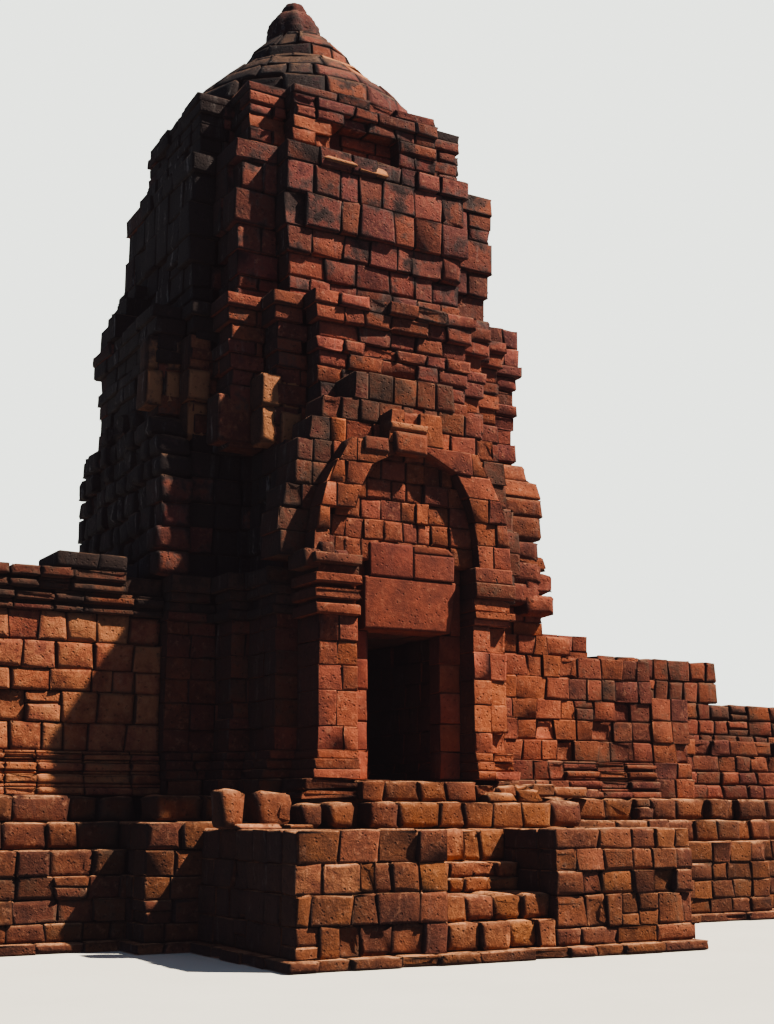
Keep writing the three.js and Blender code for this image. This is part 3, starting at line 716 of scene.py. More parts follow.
def placeSky():
    world = bpy.data.worlds.new("studio")
    world.use_nodes = True
    tree = world.node_tree
    sky = tree.nodes["Background"]
    sky.inputs[0].default_value = (*light["skyColour"], 1)
    sky.inputs[1].default_value = light["sky"]
    backdrop = tree.nodes.new("ShaderNodeBackground")  # what shows behind the temple
    backdrop.inputs[0].default_value = (*light["backdropColour"], 1)
    backdrop.inputs[1].default_value = light["backdrop"]
    path = tree.nodes.new("ShaderNodeLightPath")
    either = tree.nodes.new("ShaderNodeMixShader")
    tree.links.new(path.outputs["Is Camera Ray"], either.inputs[0])
    tree.links.new(sky.outputs[0], either.inputs[1])
    tree.links.new(backdrop.outputs[0], either.inputs[2])
    tree.links.new(either.outputs[0], tree.nodes["World Output"].inputs["Surface"])
    bpy.context.scene.world = world


def setContrast():
    view = bpy.context.scene.view_settings
    view.look = light["contrast"]
    view.use_curve_mapping = True
    view.curve_mapping.black_level = light["blackLevel"]
    view.curve_mapping.update()


paleFloor = {"half": 150.0, "tones": ((0.70, 0.67, 0.58), (0.78, 0.75, 0.66)),
             "roughness": 0.95, "patches": 0.8}


def placeFloor():
    bm = bmesh.new()
    bmesh.ops.create_grid(bm, x_segments=1, y_segments=1, size=paleFloor["half"])
    mesh = bpy.data.meshes.new("floor")
    bm.to_mesh(mesh)
    bm.free()
    floor = bpy.data.objects.new("floor", mesh)
    bpy.context.scene.collection.objects.link(floor)
    paint = Paint("paleFloor")
    place = paint.node("ShaderNodeTexCoord", output="Object")
    colour = paint.mix(paint.noise(place, paleFloor["patches"]), *paleFloor["tones"])
    mesh.materials.append(paint.finish(colour, paleFloor["roughness"], None))
    floor.visible_diffuse = False  # a pale floor would light every shaded face from below


placeCamera()
placeSun()
placeSky()
setContrast()
placeFloor()
print("camera, light and floor placed")


# terrace

terrace = {
    "steps": [(10.6, 2.05), (7.0, 2.5), (3.3, 3.1)],  # half length, half depth
    "upperSteps": [(10.6, 1.75), (6.7, 2.2), (3.3, 3.1)],
    "baseSteps": [(10.6, 1.65), (6.7, 2.0), (3.05, 2.75)],
    "groundSteps": [(10.6, 2.05), (7.0, 2.5), (3.3, 3.1), (2.64, 5.75)],
    "groundTop": 0.12,
    "groundLip": 0.11,
    "rows": [0.12, 0.33, 0.60, 0.86, 1.16],
    "top": 1.48,
    "baseTop": 1.8,
    "lowerFill": (0.3, 0.3, 0.1, 1.1),  # in from the ends, in from the fronts, low and high
    "upperFill": (0.2, 0.25, 1.1, 1.45),
    "looks": {
        "ground": lookOf(depth=0.6, size=0.5, out=0.022, round=0.02, wear=0.007, split=0.0),
        "rows": lookOf(worn=0.12, round=0.016, out=0.014, wear=0.007, size=0.40),
        "topRow": lookOf(size=0.5, depth=0.45, worn=0.2, round=0.028, out=0.024, wear=0.008),
        "arm": lookOf(worn=0.16, round=0.015, out=0.013, wear=0.007, grime=0.3),
        "treads": lookOf(size=0.40, round=0.028, worn=0.16, out=0.014, tilt=0.010, wear=0.008,
                         split=0.0, tone=(0.8, 1.0), pale=0.4, grime=0.05)},
}

arm = {  # what reaches forward on both sides of a stair
    "front": 5.75,
    "root": 3.1,
    "top": 1.41,
    "landing": 4.35,
    "skin": 0.3,  # how far behind the faces the filling starts
    "pavingFrom": 0.33,
    "pavingLow": 1.18,
    "flanks": [  # its ends along X, heights of the rows, then where their joints are
        {"ends": (-2.62, -0.8),
         "heights": [0.12, 0.44, 0.76, 1.07, 1.41],
         "joints": [(-2.35, -2.10, -1.86, -1.48, -1.09), (-2.45, -1.97, -1.66, -1.15),
                    (-2.31, -1.88, -1.69, -1.49, -1.16), (-2.12, -1.64, -1.15)]},
        {"ends": (0.65, 2.64),
         "heights": [0.12, 0.31, 0.67, 0.94, 1.18, 1.41],
         "joints": [(0.98, 1.49, 2.06), (1.08, 1.35, 1.56, 1.81, 2.10, 2.49),
                    (1.03, 1.29, 1.75, 2.05, 2.37), (0.94, 1.33, 1.75, 2.04, 2.40),
                    (1.26, 1.76, 2.11, 2.41)]}],
    "risers": [0.12, 0.42, 0.70, 0.86, 1.03, 1.40],
    "treads": [5.75, 5.62, 5.06, 5.0, 4.72],
    "treadJoint": 0.01,
    "treadLap": 0.02,  # how far a step reaches in behind the landing's edge
    "flankFill": (-2.9, 0.1, 1.0),  # its back, low and high
    "lowerFill": (-1.2, 1.2, -4.3, -2.9, 0.1, 1.05),
    "upperFill": (-2.35, 2.35, -4.3, -2.8, 1.0, 1.39),
}


def layArm(seed, stained):  # the flanks beside one stair: the lower rows and the top row
    lower, upper = Pile(seed, stained), Pile(seed + 1, stained)
    look, front, skin = terrace["looks"]["arm"], -arm["front"], arm["skin"]
    for flank in arm["flanks"]:
        x0, x1 = flank["ends"]
        rows = list(zip(flank["heights"][:-1], flank["heights"][1:], flank["joints"]))
        for low, high, joints in rows:
            pile = upper if high == arm["top"] else lower
            cuts = [x - x0 for x in joints] if stained else None
            layRun(pile, (x0, front), (x1, front), low, high, look, cuts)
            inner = front + look["depth"]
            leftBack, rightBack = -arm["root"], -arm["landing"]
            if x0 > 0:
                leftBack, rightBack = rightBack, leftBack
            layRun(pile, (x0, leftBack), (x0, inner), low, high, look)
            layRun(pile, (x1, inner), (x1, rightBack), low, high, look)
        fill(lower, x0 + skin, x1 - skin, front + skin, *arm["flankFill"])
        pave(upper, x0 + skin, x1 - skin, front + arm["pavingFrom"], -arm["landing"],
             arm["pavingLow"], arm["top"])
    fill(lower, *arm["lowerFill"])
    fill(upper, *arm["upperFill"])
    if not stained:
        turnHalf(lower)
        turnHalf(upper)
    return lower.rows, upper.rows


def fillSteps(pile, steps, inX, inY, low, high):
    for half, reach in steps:
        fill(pile, inX - half, half - inX, inY - reach, reach - inY, low, high)


def layTerrace():
    looks = terrace["looks"]
    ground = Pile(seed=11)
    plan = steppedPlan(terrace["groundSteps"], terrace["groundLip"], 0.0)
    layRing(ground, plan, 0.0, terrace["groundTop"], looks["ground"], 0)
    ground.build("ground_course", terraceFinish, "terrace_laterite")

    frontLower, frontUpper = layArm(201, True)
    backLower, backUpper = layArm(203, False)

    lower = Pile(seed=12)
    plan = steppedPlan(terrace["steps"])
    for i, (low, high) in enumerate(zip(terrace["rows"][:-1], terrace["rows"][1:])):
        layRing(lower, plan, low, high, looks["rows"], i)
    fillSteps(lower, terrace["steps"], *terrace["lowerFill"])
    lower.rows += frontLower + backLower
    lower.build("lower_terrace", terraceFinish, "terrace_laterite")

    upper = Pile(seed=13)
    plan = steppedPlan(terrace["upperSteps"])
    layRing(upper, plan, terrace["rows"][-1], terrace["top"], looks["topRow"], 1)
    fillSteps(upper, terrace["upperSteps"], *terrace["upperFill"])
    upper.rows += frontUpper + backUpper
    upper.build("upper_terrace", terraceFinish, "terrace_laterite")


def layStair(name, seed, stained):
    pile = Pile(seed, stained)
    left, right = arm["flanks"][0]["ends"][1], arm["flanks"][1]["ends"][0]
    for tread, low, high in zip(arm["treads"], arm["risers"][:-1], arm["risers"][1:]):
        depth = tread - arm["landing"] + arm["treadLap"]
        look = {**terrace["looks"]["treads"], "depth": depth}
        layFront(pile, left + arm["treadJoint"], right - arm["treadJoint"], tread, low, high, look)
    if not stained:
        turnHalf(pile)
    pile.build(name, terraceFinish, "terrace_laterite")


layTerrace()


# the step round the foot of the walls, with the sills and the loose stones on the landings

baseStep = {
    "broken": lookOf(size=0.52, depth=0.7, worn=0.25, round=0.05, out=0.04, wear=0.009, lost=0.04,
                     split=0.12, tilt=0.015),
    "sill": lookOf(depth=0.6, worn=0.12, round=0.03, out=0.012, wear=0.008, split=0.0),
    "floor": {"reach": (2.6, 10.4), "half": 1.0, "low": 1.6, "look": {**pavedLook, "size": 0.7}},
    "fills": [(-10.3, 10.3, -1.2, 1.2, 1.46, 1.7), (-2.9, 2.9, -2.4, 2.4, 1.46, 1.76)],
    "sillFill": (-1.5, 1.6, -3.75, -2.7, 1.39, 1.8),
    "sillFront": 4.05,
    "sillTop": 1.72,
    "sillEnds": (-0.86, 1.82),
    "sillJoints": [0.42, 1.0, 1.36, 1.78, 2.22],
    "sillSide": (-3.5, -2.7),
    "blocks": [  # on the left of the landing: left, right, top, how much narrower they are below
        (-2.80, -2.45, 1.86, 0.03), (-2.36, -1.84, 1.83, 0.05), (-1.80, -1.46, 1.70, 0.06),
        (-1.44, -1.04, 1.72, 0.05)],
    "blockFace": -4.12,
    "blockDepth": 0.42,
    "blockLean": 0.03,
    "blockLook": lookOf(round=0.075, wear=0.009, tilt=0.015, grime=0.3),
    "loose": [  # left, right, y, low, high and turn
        (1.86, 2.34, -3.98, 1.41, 1.74, -0.1), (2.36, 2.8, -2.95, 1.8, 1.98, 0.2),
        (2.88, 3.45, -2.62, 1.8, 1.95, -0.15), (3.5, 4.0, -2.3, 1.8, 1.93, 0.1),
        (-2.6, -2.05, -4.2, 1.41, 1.47, 0.05), (-2.0, -1.7, -4.3, 1.41, 1.46, 0.0),
        (0.9, 1.35, -4.0, 1.72, 1.84, 0.05), (1.4, 1.75, -3.95, 1.72, 1.88, -0.1)],
    "looseDepth": 0.36,
    "looseLean": 0.05,
    "looseLook": lookOf(round=0.06, wear=0.009, tilt=0.04, out=0.0),
    "looseWorn": 0.3,
    "backHalf": 2.5,  # the back landing is whole
    "backLeft": (-2.75, -3.7),
    "backRight": (-3.45, -2.75),
    "backDepth": 0.6,
    "backFill": (-2.0, 2.0, -3.6, -2.7, 1.39, 1.78),
}


def layBase():
    base, low, high = Pile(seed=14), arm["top"], terrace["baseTop"]
    broken, sill = baseStep["broken"], baseStep["sill"]
    layRing(base, steppedPlan(terrace["baseSteps"]), terrace["top"], high, broken, 0)
    floor = baseStep["floor"]
    for sign in (1, -1):
        pave(base, *mirrored(sign, *floor["reach"]), -floor["half"], floor["half"], floor["low"],
             high, floor["look"])
    for box in baseStep["fills"]:
        fill(base, *box)
    left, right = baseStep["sillEnds"]
    layFront(base, left, right, baseStep["sillFront"], low, baseStep["sillTop"], sill,
             baseStep["sillJoints"])
    near, far = baseStep["sillSide"]
    layRun(base, (right, near), (right, far), low, baseStep["sillTop"], sill)
    fill(base, *baseStep["sillFill"])
    for x0, x1, top, narrow in baseStep["blocks"]:
        base.block((x0 + narrow, x0), (x1 - narrow, x1), baseStep["blockFace"],
                   baseStep["blockDepth"], low, top, baseStep["blockLook"],
                   (0, baseStep["blockLean"]), worn=baseStep["looseWorn"])
    for x0, x1, y, bottom, top, turn in baseStep["loose"]:
        base.stone((x0, y), turn, (0, 0), (x1 - x0, x1 - x0), (0, baseStep["looseLean"]),
                   baseStep["looseDepth"], bottom, top, baseStep["looseLook"],
                   worn=baseStep["looseWorn"])

    back, half = Pile(seed=15, stained=False), baseStep["backHalf"]
    near, far = baseStep["backLeft"]
    layRun(back, (-half, near), (-half, far), low, high, broken)
    layFront(back, -half, half, baseStep["sillFront"], low, high,
             {**broken, "depth": baseStep["backDepth"]})
    near, far = baseStep["backRight"]
    layRun(back, (half, near), (half, far), low, high, broken)
    fill(back, *baseStep["backFill"])
    turnHalf(back)
    base.rows += back.rows
    base.build("base_step", terraceFinish, "terrace_laterite")


layBase()
layStair("front_stair", 21, True)
layStair("back_stair", 22, False)


# the storey that people walk through

storey = {
    "floor": 2.0,
    "corniceLow": 3.87,
    "top": 4.65,
    "base": [(2.0, 2.12, 0.15), (2.12, 2.24, 0.10), (2.24, 2.35, 0.05)],
    "shaft": [2.35, 2.64, 2.98, 3.29, 3.58, 3.87],
    "cornice": [(3.87, 4.05, 0.0), (4.05, 4.17, 0.05), (4.17, 4.30, 0.02), (4.30, 4.43, 0.08),
                (4.43, 4.65, 0.13)],
    "wall": 1.8,              # half depth of the sides
    "shoulder": (1.95, 2.3),  # the corner between a side and the porch
    "porchHalf": 1.7,
    "room": 1.35,
    "roomCourse": 0.39,
    "doorHalf": {"side": 0.5, "front": 0.6},
    "ends": {"side": 2.65, "front": 3.15},
    "corners": [("front_left", 32, -1, -1), ("front_right", 33, 1, -1), ("back_left", 34, -1, 1),
                ("back_right", 35, 1, 1)],
    "cornerLook": lookOf(size=0.36),
    "cornerGrime": {-1: 0.5, 1: 0.2},
    "corniceLook": lookOf(depth=0.5, size=0.45, worn=0.12, grime=0.5),
    "roomLook": lookOf(size=0.7, depth=0.4),
    "cornerFills": [(0.85, 1.45, 1.6, 2.9), (1.3, 1.7, 1.5, 2.1), (1.6, 2.4, 0.8, 1.55)],
    "cornerFillTop": 3.86,
    "corniceFills": {"fronts": (1.45, 1.6, 2.8), "sides": (1.6, 1.6, 2.3)},  # half width, reach
    "corniceFillHeights": (3.88, 4.63),
}

towerFloor = {
    "plan": [(2.65, 2.02), (2.17, 2.02), (2.17, 2.52), (1.92, 2.52), (1.92, 3.2), (1.62, 3.2),
             (1.62, 3.86)],
    "low": 1.8,
    "look": lookOf(size=0.5, depth=0.5, out=0.02, worn=0.1),
    "sills": [  # left, right, face, low, high, look and joints
        (-0.86, 0.8, 3.86, 1.72, 1.97, lookOf(depth=0.5, round=0.022, wear=0.008, split=0.0),
         [0.32, 0.82, 1.2]),
        (0.8, 1.62, 3.86, 1.78, 1.94,
         lookOf(size=0.3, depth=0.5, worn=0.6, round=0.04, out=0.03, wear=0.014), None),
        (-1.62, -0.86, 3.84, 1.74, 1.99,
         lookOf(size=0.7, depth=0.5, worn=1.0, round=0.06, out=0.02, wear=0.02), None)],
    "paving": [(-1.3, 1.3, -3.4, 3.5), (1.3, 2.6, -1.5, 1.5), (-2.6, -1.3, -1.5, 1.5)],
    "pavingLow": 1.86,
    "pavingLook": {**pavedLook, "tilt": 0.004},
    "fills": [(-1.3, 1.3, -3.5, 3.5, 1.79, 1.9), (-2.3, 2.3, -1.8, 1.8, 1.79, 1.9)],
}


def bodySteps(lip):  # the redented corner between a side wall and the porch
    side, front = storey["ends"]["side"], storey["ends"]["front"]
    wall, porchSide = storey["wall"] + lip, storey["porchHalf"] + lip
    x, y = (value + lip for value in storey["shoulder"])
    return [(side, wall), (x, wall), (x, y), (porchSide, y), (porchSide, front)]


def cornerPlan(lip, signX, signY):
    side, front = storey["ends"]["side"], storey["ends"]["front"]
    doorSide, doorFront = storey["doorHalf"]["side"], storey["doorHalf"]["front"]
    room = storey["room"]
    quarter = [(side, doorSide), *bodySteps(lip), (doorFront, front), (doorFront, room),
               (room, room), (room, doorSide)]
    placed = [(x * signX, y * signY) for x, y in quarter]
    return placed if signX * signY > 0 else placed[::-1]


def layTowerFloor():
    pile, top = Pile(seed=31), storey["floor"]
    endX, endY = towerFloor["plan"][-1]
    layRing(pile, fourQuarters(towerFloor["plan"]), towerFloor["low"], top, towerFloor["look"], 0,
            skip=[(-endX, -endY)])
    for sill in towerFloor["sills"]:
        layFront(pile, *sill)
    for box in towerFloor["paving"]:
        pave(pile, *box, towerFloor["pavingLow"], top, towerFloor["pavingLook"])
    for box in towerFloor["fills"]:
        fill(pile, *box)
    pile.build("tower_floor", terraceFinish, "terrace_laterite")


def layCorners():
    layers = [*storey["base"], *coursesOf(storey["shaft"])]
    for name, seed, signX, signY in storey["corners"]:
        pile = Pile(seed)
        for i, (low, high, lip) in enumerate(layers):
            look = {**storey["cornerLook"], "grime": storey["cornerGrime"][signX]}
            look["depth"] += lip / 2
            layRing(pile, cornerPlan(lip, signX, signY), low, high, look, i)
        for x0, x1, y0, y1 in storey["cornerFills"]:
            fill(pile, *mirrored(signX, x0, x1), *mirrored(signY, y0, y1), storey["floor"],
                 storey["cornerFillTop"])
        pile.build("body_corner_" + name, wallFinish, "wall_laterite")


def layCornice():
    pile, room = Pile(seed=36), storey["room"]
    for i, (low, high, lip) in enumerate(storey["cornice"]):
        look = {**storey["corniceLook"], "depth": storey["corniceLook"]["depth"] + lip}
        layRing(pile, fourQuarters(bodySteps(lip)), low, high, look, i)
    inside = [(room, room), (room, -room), (-room, -room), (-room, room)]
    courses = levels(storey["corniceLow"], storey["top"], storey["roomCourse"])
    for i, (low, high) in enumerate(courses):
        layRing(pile, inside, low, high, storey["roomLook"], i)
    low, high = storey["corniceFillHeights"]
    for sign in (-1, 1):
        half, near, far = storey["corniceFills"]["fronts"]
        fill(pile, -half, half, *mirrored(sign, near, far), low, high)
        half, near, far = storey["corniceFills"]["sides"]
        fill(pile, *mirrored(sign, near, far), -half, half, low, high)
    pile.build("body_cornice", wallFinish, "wall_laterite")


layTowerFloor()
layCorners()
layCornice()


# porch fronts, laid at -Y and turned half round for the back

porch = {
    "front": 3.75, "jambFront": 3.42, "inner": 0.85, "outer": 1.4, "door": 0.53,
    "doorTop": 3.87,
    "lintelTop": 4.55,
    "lintelRest": 0.69,  # how far the lintel reaches over the jambs
    "lintelRight": (0.6, 0.69),
    "lintelFace": -3.6,
    "lintelDepth": 0.45,
    "spring": 4.75,
    "pediment": {"half": 1.8, "rise": 2.55, "point": 0.95},
    "archOuter": {"half": 1.47, "rise": 2.0, "point": 1.0},
    "archInner": {"half": 0.96, "rise": 1.5, "point": 0.75},
    "lostArch": (1.25, 5.55),  # the left leg's stones inside this are gone up to this height
    "pedimentFront": 3.45,
    "pedimentTop": 7.3,
    "tympanum": 3.585,
    "tympanumTop": 6.24,
    "archTop": 6.75,
}

pilaster = {
    "foot": [(2.0, 2.11, 0.09), (2.11, 2.23, 0.06), (2.23, 2.34, 0.03)],
    "shaft": {"left": [2.34, 2.62, 3.06, 3.37, 3.67, 3.99],
              "right": [2.34, 2.60, 2.96, 3.28, 3.64, 3.99]},
    "capital": {  # rolls with grooves between them, then the block on top
        "left": [(3.99, 4.13, 0.08), (4.13, 4.19, -0.05), (4.19, 4.32, 0.10), (4.32, 4.38, -0.03),
                 (4.38, 4.50, 0.11), (4.50, 4.62, 0.04), (4.62, 4.75, 0.12)],
        "right": [(3.99, 4.07, 0.02), (4.07, 4.17, 0.08), (4.17, 4.34, 0.02), (4.34, 4.55, 0.08),
                  (4.55, 4.75, 0.05)]},
    "depth": 0.6,
    "look": lookOf(size=0.30, out=0.010, tilt=0.004, round=0.009, split=0.0, tone=(0.5, 0.95),
                   grime=0.08),
    "thin": 0.24,         # courses thinner than this are laid in long stones
    "thinSize": 0.9,
    "parting": 1.12,      # the right one has an upright joint here up to its capital
    "partedTop": 4.0,
    "partedBack": 0.06,   # what lies beyond the joint stands back
    "partedSize": 0.5,
    "back": 3.15,
    "eaten": {  # stones on the front capitals: left, right, face, depth, low and high
        -1: ([(-1.63, -1.38, -3.8, 0.5, 4.56, 4.80), (-1.40, -1.19, -3.8, 0.5, 4.72, 4.91),
              (-1.2, -1.0, -3.8, 0.5, 4.7, 4.82)],
             {"lean": (0, 0.03), "worn": 0.0, "round": 0.05, "tone": (0.2, 0.5), "grime": 0.6}),
        1: ([((1.16, 1.14), (1.52, 1.50), -3.86, 0.5, 4.28, 4.72)],
            {"lean": (0.03, 0), "worn": 1.0, "round": 0.07, "tone": (0.2, 0.4), "grime": 0.65})},
}

jamb = {
    "courses": [2.0, 2.36, 2.72, 3.12, 3.5, 3.87],
    "look": lookOf(size=0.6, depth=0.27, out=0.008, tilt=0.004, worn=0.0, split=0.0,
                   tone=(0.55, 0.95), grime=0.05),
}

bigLook = lookOf(out=0.0, tilt=0.0, worn=0.0, round=0.014, wear=0.004, gap=0.003,
                 tone=(0.40, 0.50), grime=0.15)
plateLook = lookOf(depth=0.57, size=0.32, out=0.012, worn=0.06, split=0.03, tone=(0.5, 0.9),
                   grime=0.15, round=0.014)
archLook = lookOf(depth=0.3, size=0.28, out=0.012, worn=0.05, split=0.0, tone=(0.5, 0.95),
                  grime=0.18)

relieving = {  # the pair of stones over the lintel; the right one has lost its corner
    "face": -3.62, "depth": 0.17, "low": 4.55, "top": 4.99,
    "stones": [(48, "left", -0.62, 0.03, 0.0), (49, "right", 0.03, 0.66, 0.1)],
}

keystones = [  # left, right, face, depth, low and high, then what is its own
    ((-0.36, 0.14, -3.83, 0.2, 6.15, 6.45), {"tone": (0.6, 0.7), "grime": 0.3}),
    (((-0.8, -0.78), -0.42, -3.79, 0.2, 6.14, 6.34), {"tone": (0.4, 0.6), "grime": 0.5}),
    ((-0.42, 0.16, -3.8, 0.2, 6.47, 6.58), {"tone": (0.7, 0.8), "grime": 0.2, "pale": 0.5}),
]
keystoneRound = 0.03

pedimentWall = {
    "foot": {**plateLook, "depth": 0.3},
    "ragged": 0.07,
    "tympanum": {**plateLook, "depth": 0.15, "size": 0.27},
    "tympanumCourse": 0.27,
    "lap": 0.02,             # how far the tympanum reaches in behind the arch
    "bared": (-1.28, -0.9),  # the wall that shows where the arch's leg has gone
    "baredOver": 0.03,
    "baredSize": 0.2,
    "pale": ((-1.17, -1.14), (-0.98, -1.02), -3.49, 0.1, 4.77, 4.98),
    "paleLook": {"pale": 1.6, "tone": (0.95, 1.0), "grime": -0.2, "round": 0.05, "worn": 1.0},
}

plate = {  # how upright plates are cut to their curves
    "course": 0.31,
    "steepest": 0.55,      # a row's end slants at most this much of its height
    "lastCourse": 1.5,     # what is left over joins the top row up to this many courses
    "near": 0.02,
    "crown": 0.3,          # rows this near to the top are drawn out by the two below
    "crownOut": (0.08, 0.04),
    "raggedAt": 0.35,
    "raggedOut": (-0.4, 1.0),
    "raggedSlant": 0.3,
    "lostOver": 0.1,
    "leastVoid": 0.05,
    "leastSpan": 0.06,
    "jointFromEnd": 0.04,
}


backSeeds = 100  # added to a seed of the front


def reachAt(z, curve, spring):  # half width of an arch's curve at a height
    share = min(1.0, max(0.0, (z - spring) / curve["rise"]))
    return curve["half"] * math.sqrt(1 - share * share) ** curve["point"]


def rowEnds(below, above, height):  # where a curve is met by a course whose end slants a little
    middle, slant = (below + above) / 2, min(below - above, plate["steepest"] * height)
    return middle + slant / 2, middle - slant / 2


def archRows(low, top, size):
    heights = [low]
    while heights[-1] < top - plate["near"]:
        left = top - heights[-1]
        whole = left > plate["lastCourse"] * size
        heights.append(min(top, heights[-1] + (size if whole else left)))
    return list(zip(heights[:-1], heights[1:]))


def layCut(pile, place, turn, ends, low, high, look):
    # one course between slanting ends, given as left below, left above, right below, right above
    a0, a1, b0, b1 = ends
    first, final = a1 + plate["jointFromEnd"], b1 - plate["jointFromEnd"]
    joints = jointsAlong(pile.rng, b0 - a0, look["size"]) + a0
    joints = [joints[0], *[joint for joint in joints[1:-1] if first < joint < final], joints[-1]]
    for i, (left, right) in enumerate(zip(joints[:-1], joints[1:])):
        leftHigh = a1 if i == 0 else left
        rightHigh = b1 if i == len(joints) - 2 else right
        pile.stone(place, turn, (left, leftHigh), (right, rightHigh), (0, 0), look["depth"],
                   low, high, look)


def layPlate(pile, curve, low, top, face, look, void=None, size=plate["course"], lost=None,
             ragged=0.0):
    # an upright plate in coursed stones cut to a curve; void is the curve of an opening in it
    for z0, z1 in archRows(low, top, size):
        outer = rowEnds(curve(z0), curve(z1), z1 - z0)
        if ragged:  # the end stones are left square and stand out by turns
            reach = curve(z0 + plate["raggedAt"] * (z1 - z0))
            reach += pile.rng.uniform(*plate["raggedOut"]) * ragged
            outer = (reach, reach - plate["raggedSlant"] * ragged)
        elif z1 > top - plate["crown"]:
            outer = tuple(outer[1] + more for more in plate["crownOut"])
        inner = (void(z0), void(z1)) if void else (0.0, 0.0)
        innerLeft = (lost[0], lost[0]) if lost and z1 < lost[1] + plate["lostOver"] else inner
        spans = [(-outer[0], -outer[1], -innerLeft[0], -innerLeft[1]),
                 (inner[0], inner[1], outer[0], outer[1])]
        if max(inner) < plate["leastVoid"]:
            spans = [(-outer[0], -outer[1], outer[0], outer[1])]
        for ends in spans:
            if ends[2] - ends[0] >= plate["leastSpan"]:
                layCut(pile, (0.0, -face), 0.0, ends, z0, z1, look)


def porchPile(side, seed):  # the back has seeds of its own and no stains
    return Pile(seed, True) if side == "front" else Pile(seed + backSeeds, False)


def closePorch(pile, side, name, finish, slot, ending="_stones"):
    if side == "back":
        turnHalf(pile)
    pile.build(side + "_" + name, finish, slot, ending)


def layPilaster(side, seed, label, sign):
    pile = porchPile(side, seed)
    courses = [*pilaster["foot"], *coursesOf(pilaster["shaft"][label]), *pilaster["capital"][label]]
    for low, high, lip in courses:
        face = porch["front"] + lip
        outer = sign * (porch["outer"] + max(lip, 0.0))
        look = {**pilaster["look"], "depth": pilaster["depth"] + lip}
        if high - low < pilaster["thin"]:
            look["size"] = pilaster["thinSize"]
        parted = high < pilaster["partedTop"] and sign > 0
        end = pilaster["parting"] if parted else outer
        layFront(pile, *sorted((sign * porch["inner"], end)), face, low, high, look)
        if parted:
            back = face - (0.0 if lip else pilaster["partedBack"])
            layFront(pile, end, outer, back, low, high,
                     {**look, "size": pilaster["partedSize"], "depth": back - pilaster["back"]})
    if side == "front":
        stones, changes = pilaster["eaten"][sign]
        pile.blocks(stones, look, **changes)
    closePorch(pile, side, label + "_pilaster", wallFinish, "wall_laterite")


def layJamb(side, seed, label, sign):
    pile = porchPile(side, seed)
    for low, high, _ in coursesOf(jamb["courses"]):
        layFront(pile, *mirrored(sign, porch["door"], porch["inner"]), porch["jambFront"],
                 low, high, jamb["look"])
    layFront(pile, *mirrored(sign, porch["lintelRest"], porch["inner"]), porch["jambFront"],
             porch["doorTop"], porch["lintelTop"], jamb["look"])
    closePorch(pile, side, label + "_jamb", dressedFinish, "dressed_stone")


def layLintel(side):
    pile = porchPile(side, 45)
    pile.block(-porch["lintelRest"], porch["lintelRight"], porch["lintelFace"],
               porch["lintelDepth"], porch["doorTop"], porch["lintelTop"], bigLook)
    closePorch(pile, side, "lintel", dressedFinish, "dressed_stone")


def layPedimentWall(side):
    pile, spring, face = porchPile(side, 46), porch["spring"], porch["tympanum"]
    tympanum, course = pedimentWall["tympanum"], pedimentWall["tympanumCourse"]
    layFront(pile, -porch["inner"], porch["inner"], porch["pedimentFront"], porch["lintelTop"],
             spring, pedimentWall["foot"])
    layPlate(pile, lambda z: reachAt(z, porch["pediment"], spring), spring,
             porch["pedimentTop"], porch["pedimentFront"], plateLook,
             ragged=pedimentWall["ragged"])
    layPlate(pile, lambda z: reachAt(z, porch["archInner"], spring) + pedimentWall["lap"], spring,
             porch["tympanumTop"], face, tympanum, size=course)
    if side == "front":
        top = porch["lostArch"][1] + pedimentWall["baredOver"]
        for low, high in levels(spring, top, course):
            layFront(pile, *pedimentWall["bared"], face, low, high,
                     {**tympanum, "size": pedimentWall["baredSize"]})
        pile.block(*pedimentWall["pale"], plateLook, **pedimentWall["paleLook"])
    closePorch(pile, side, "pediment_wall", wallFinish, "wall_laterite")


def layArch(side):
    pile, spring = porchPile(side, 47), porch["spring"]
    layPlate(pile, lambda z: reachAt(z, porch["archOuter"], spring), spring, porch["archTop"],
             porch["front"], archLook, void=lambda z: reachAt(z, porch["archInner"], spring),
             lost=porch["lostArch"] if side == "front" else None)
    closePorch(pile, side, "arch", wallFinish, "wall_laterite")


def layPorch(side):
    for seed, label, sign in ((41, "left", -1), (42, "right", 1)):
        layPilaster(side, seed, label, sign)
        layJamb(side, seed + 2, label, sign)
    layLintel(side)
    layPedimentWall(side)
    layArch(side)


def layFrontBlocks():  # the relieving stones and the keystone, which the back has not
    face, depth = relieving["face"], relieving["depth"]
    low, top = relieving["low"], relieving["top"]
    for seed, label, x0, x1, cut in relieving["stones"]:
        pile = Pile(seed)
        pile.block(x0, x1, face, depth, low, top - cut, bigLook)
        if cut:
            pile.block(x0, (x1, x1 - cut), face, depth, top - cut, top, bigLook, gap=0.0)
        pile.build("front_relieving_stone_" + label, dressedFinish, "dressed_stone", "_block")
    pile = Pile(50)
    for place, own in keystones:
        pile.block(*place, bigLook, round=keystoneRound, **own)
    pile.build("front_keystone", wallFinish, "wall_laterite", "_block")


layPorch("front")
layFrontBlocks()
layPorch("back")


# side pediments: upright sides with a low arch over them

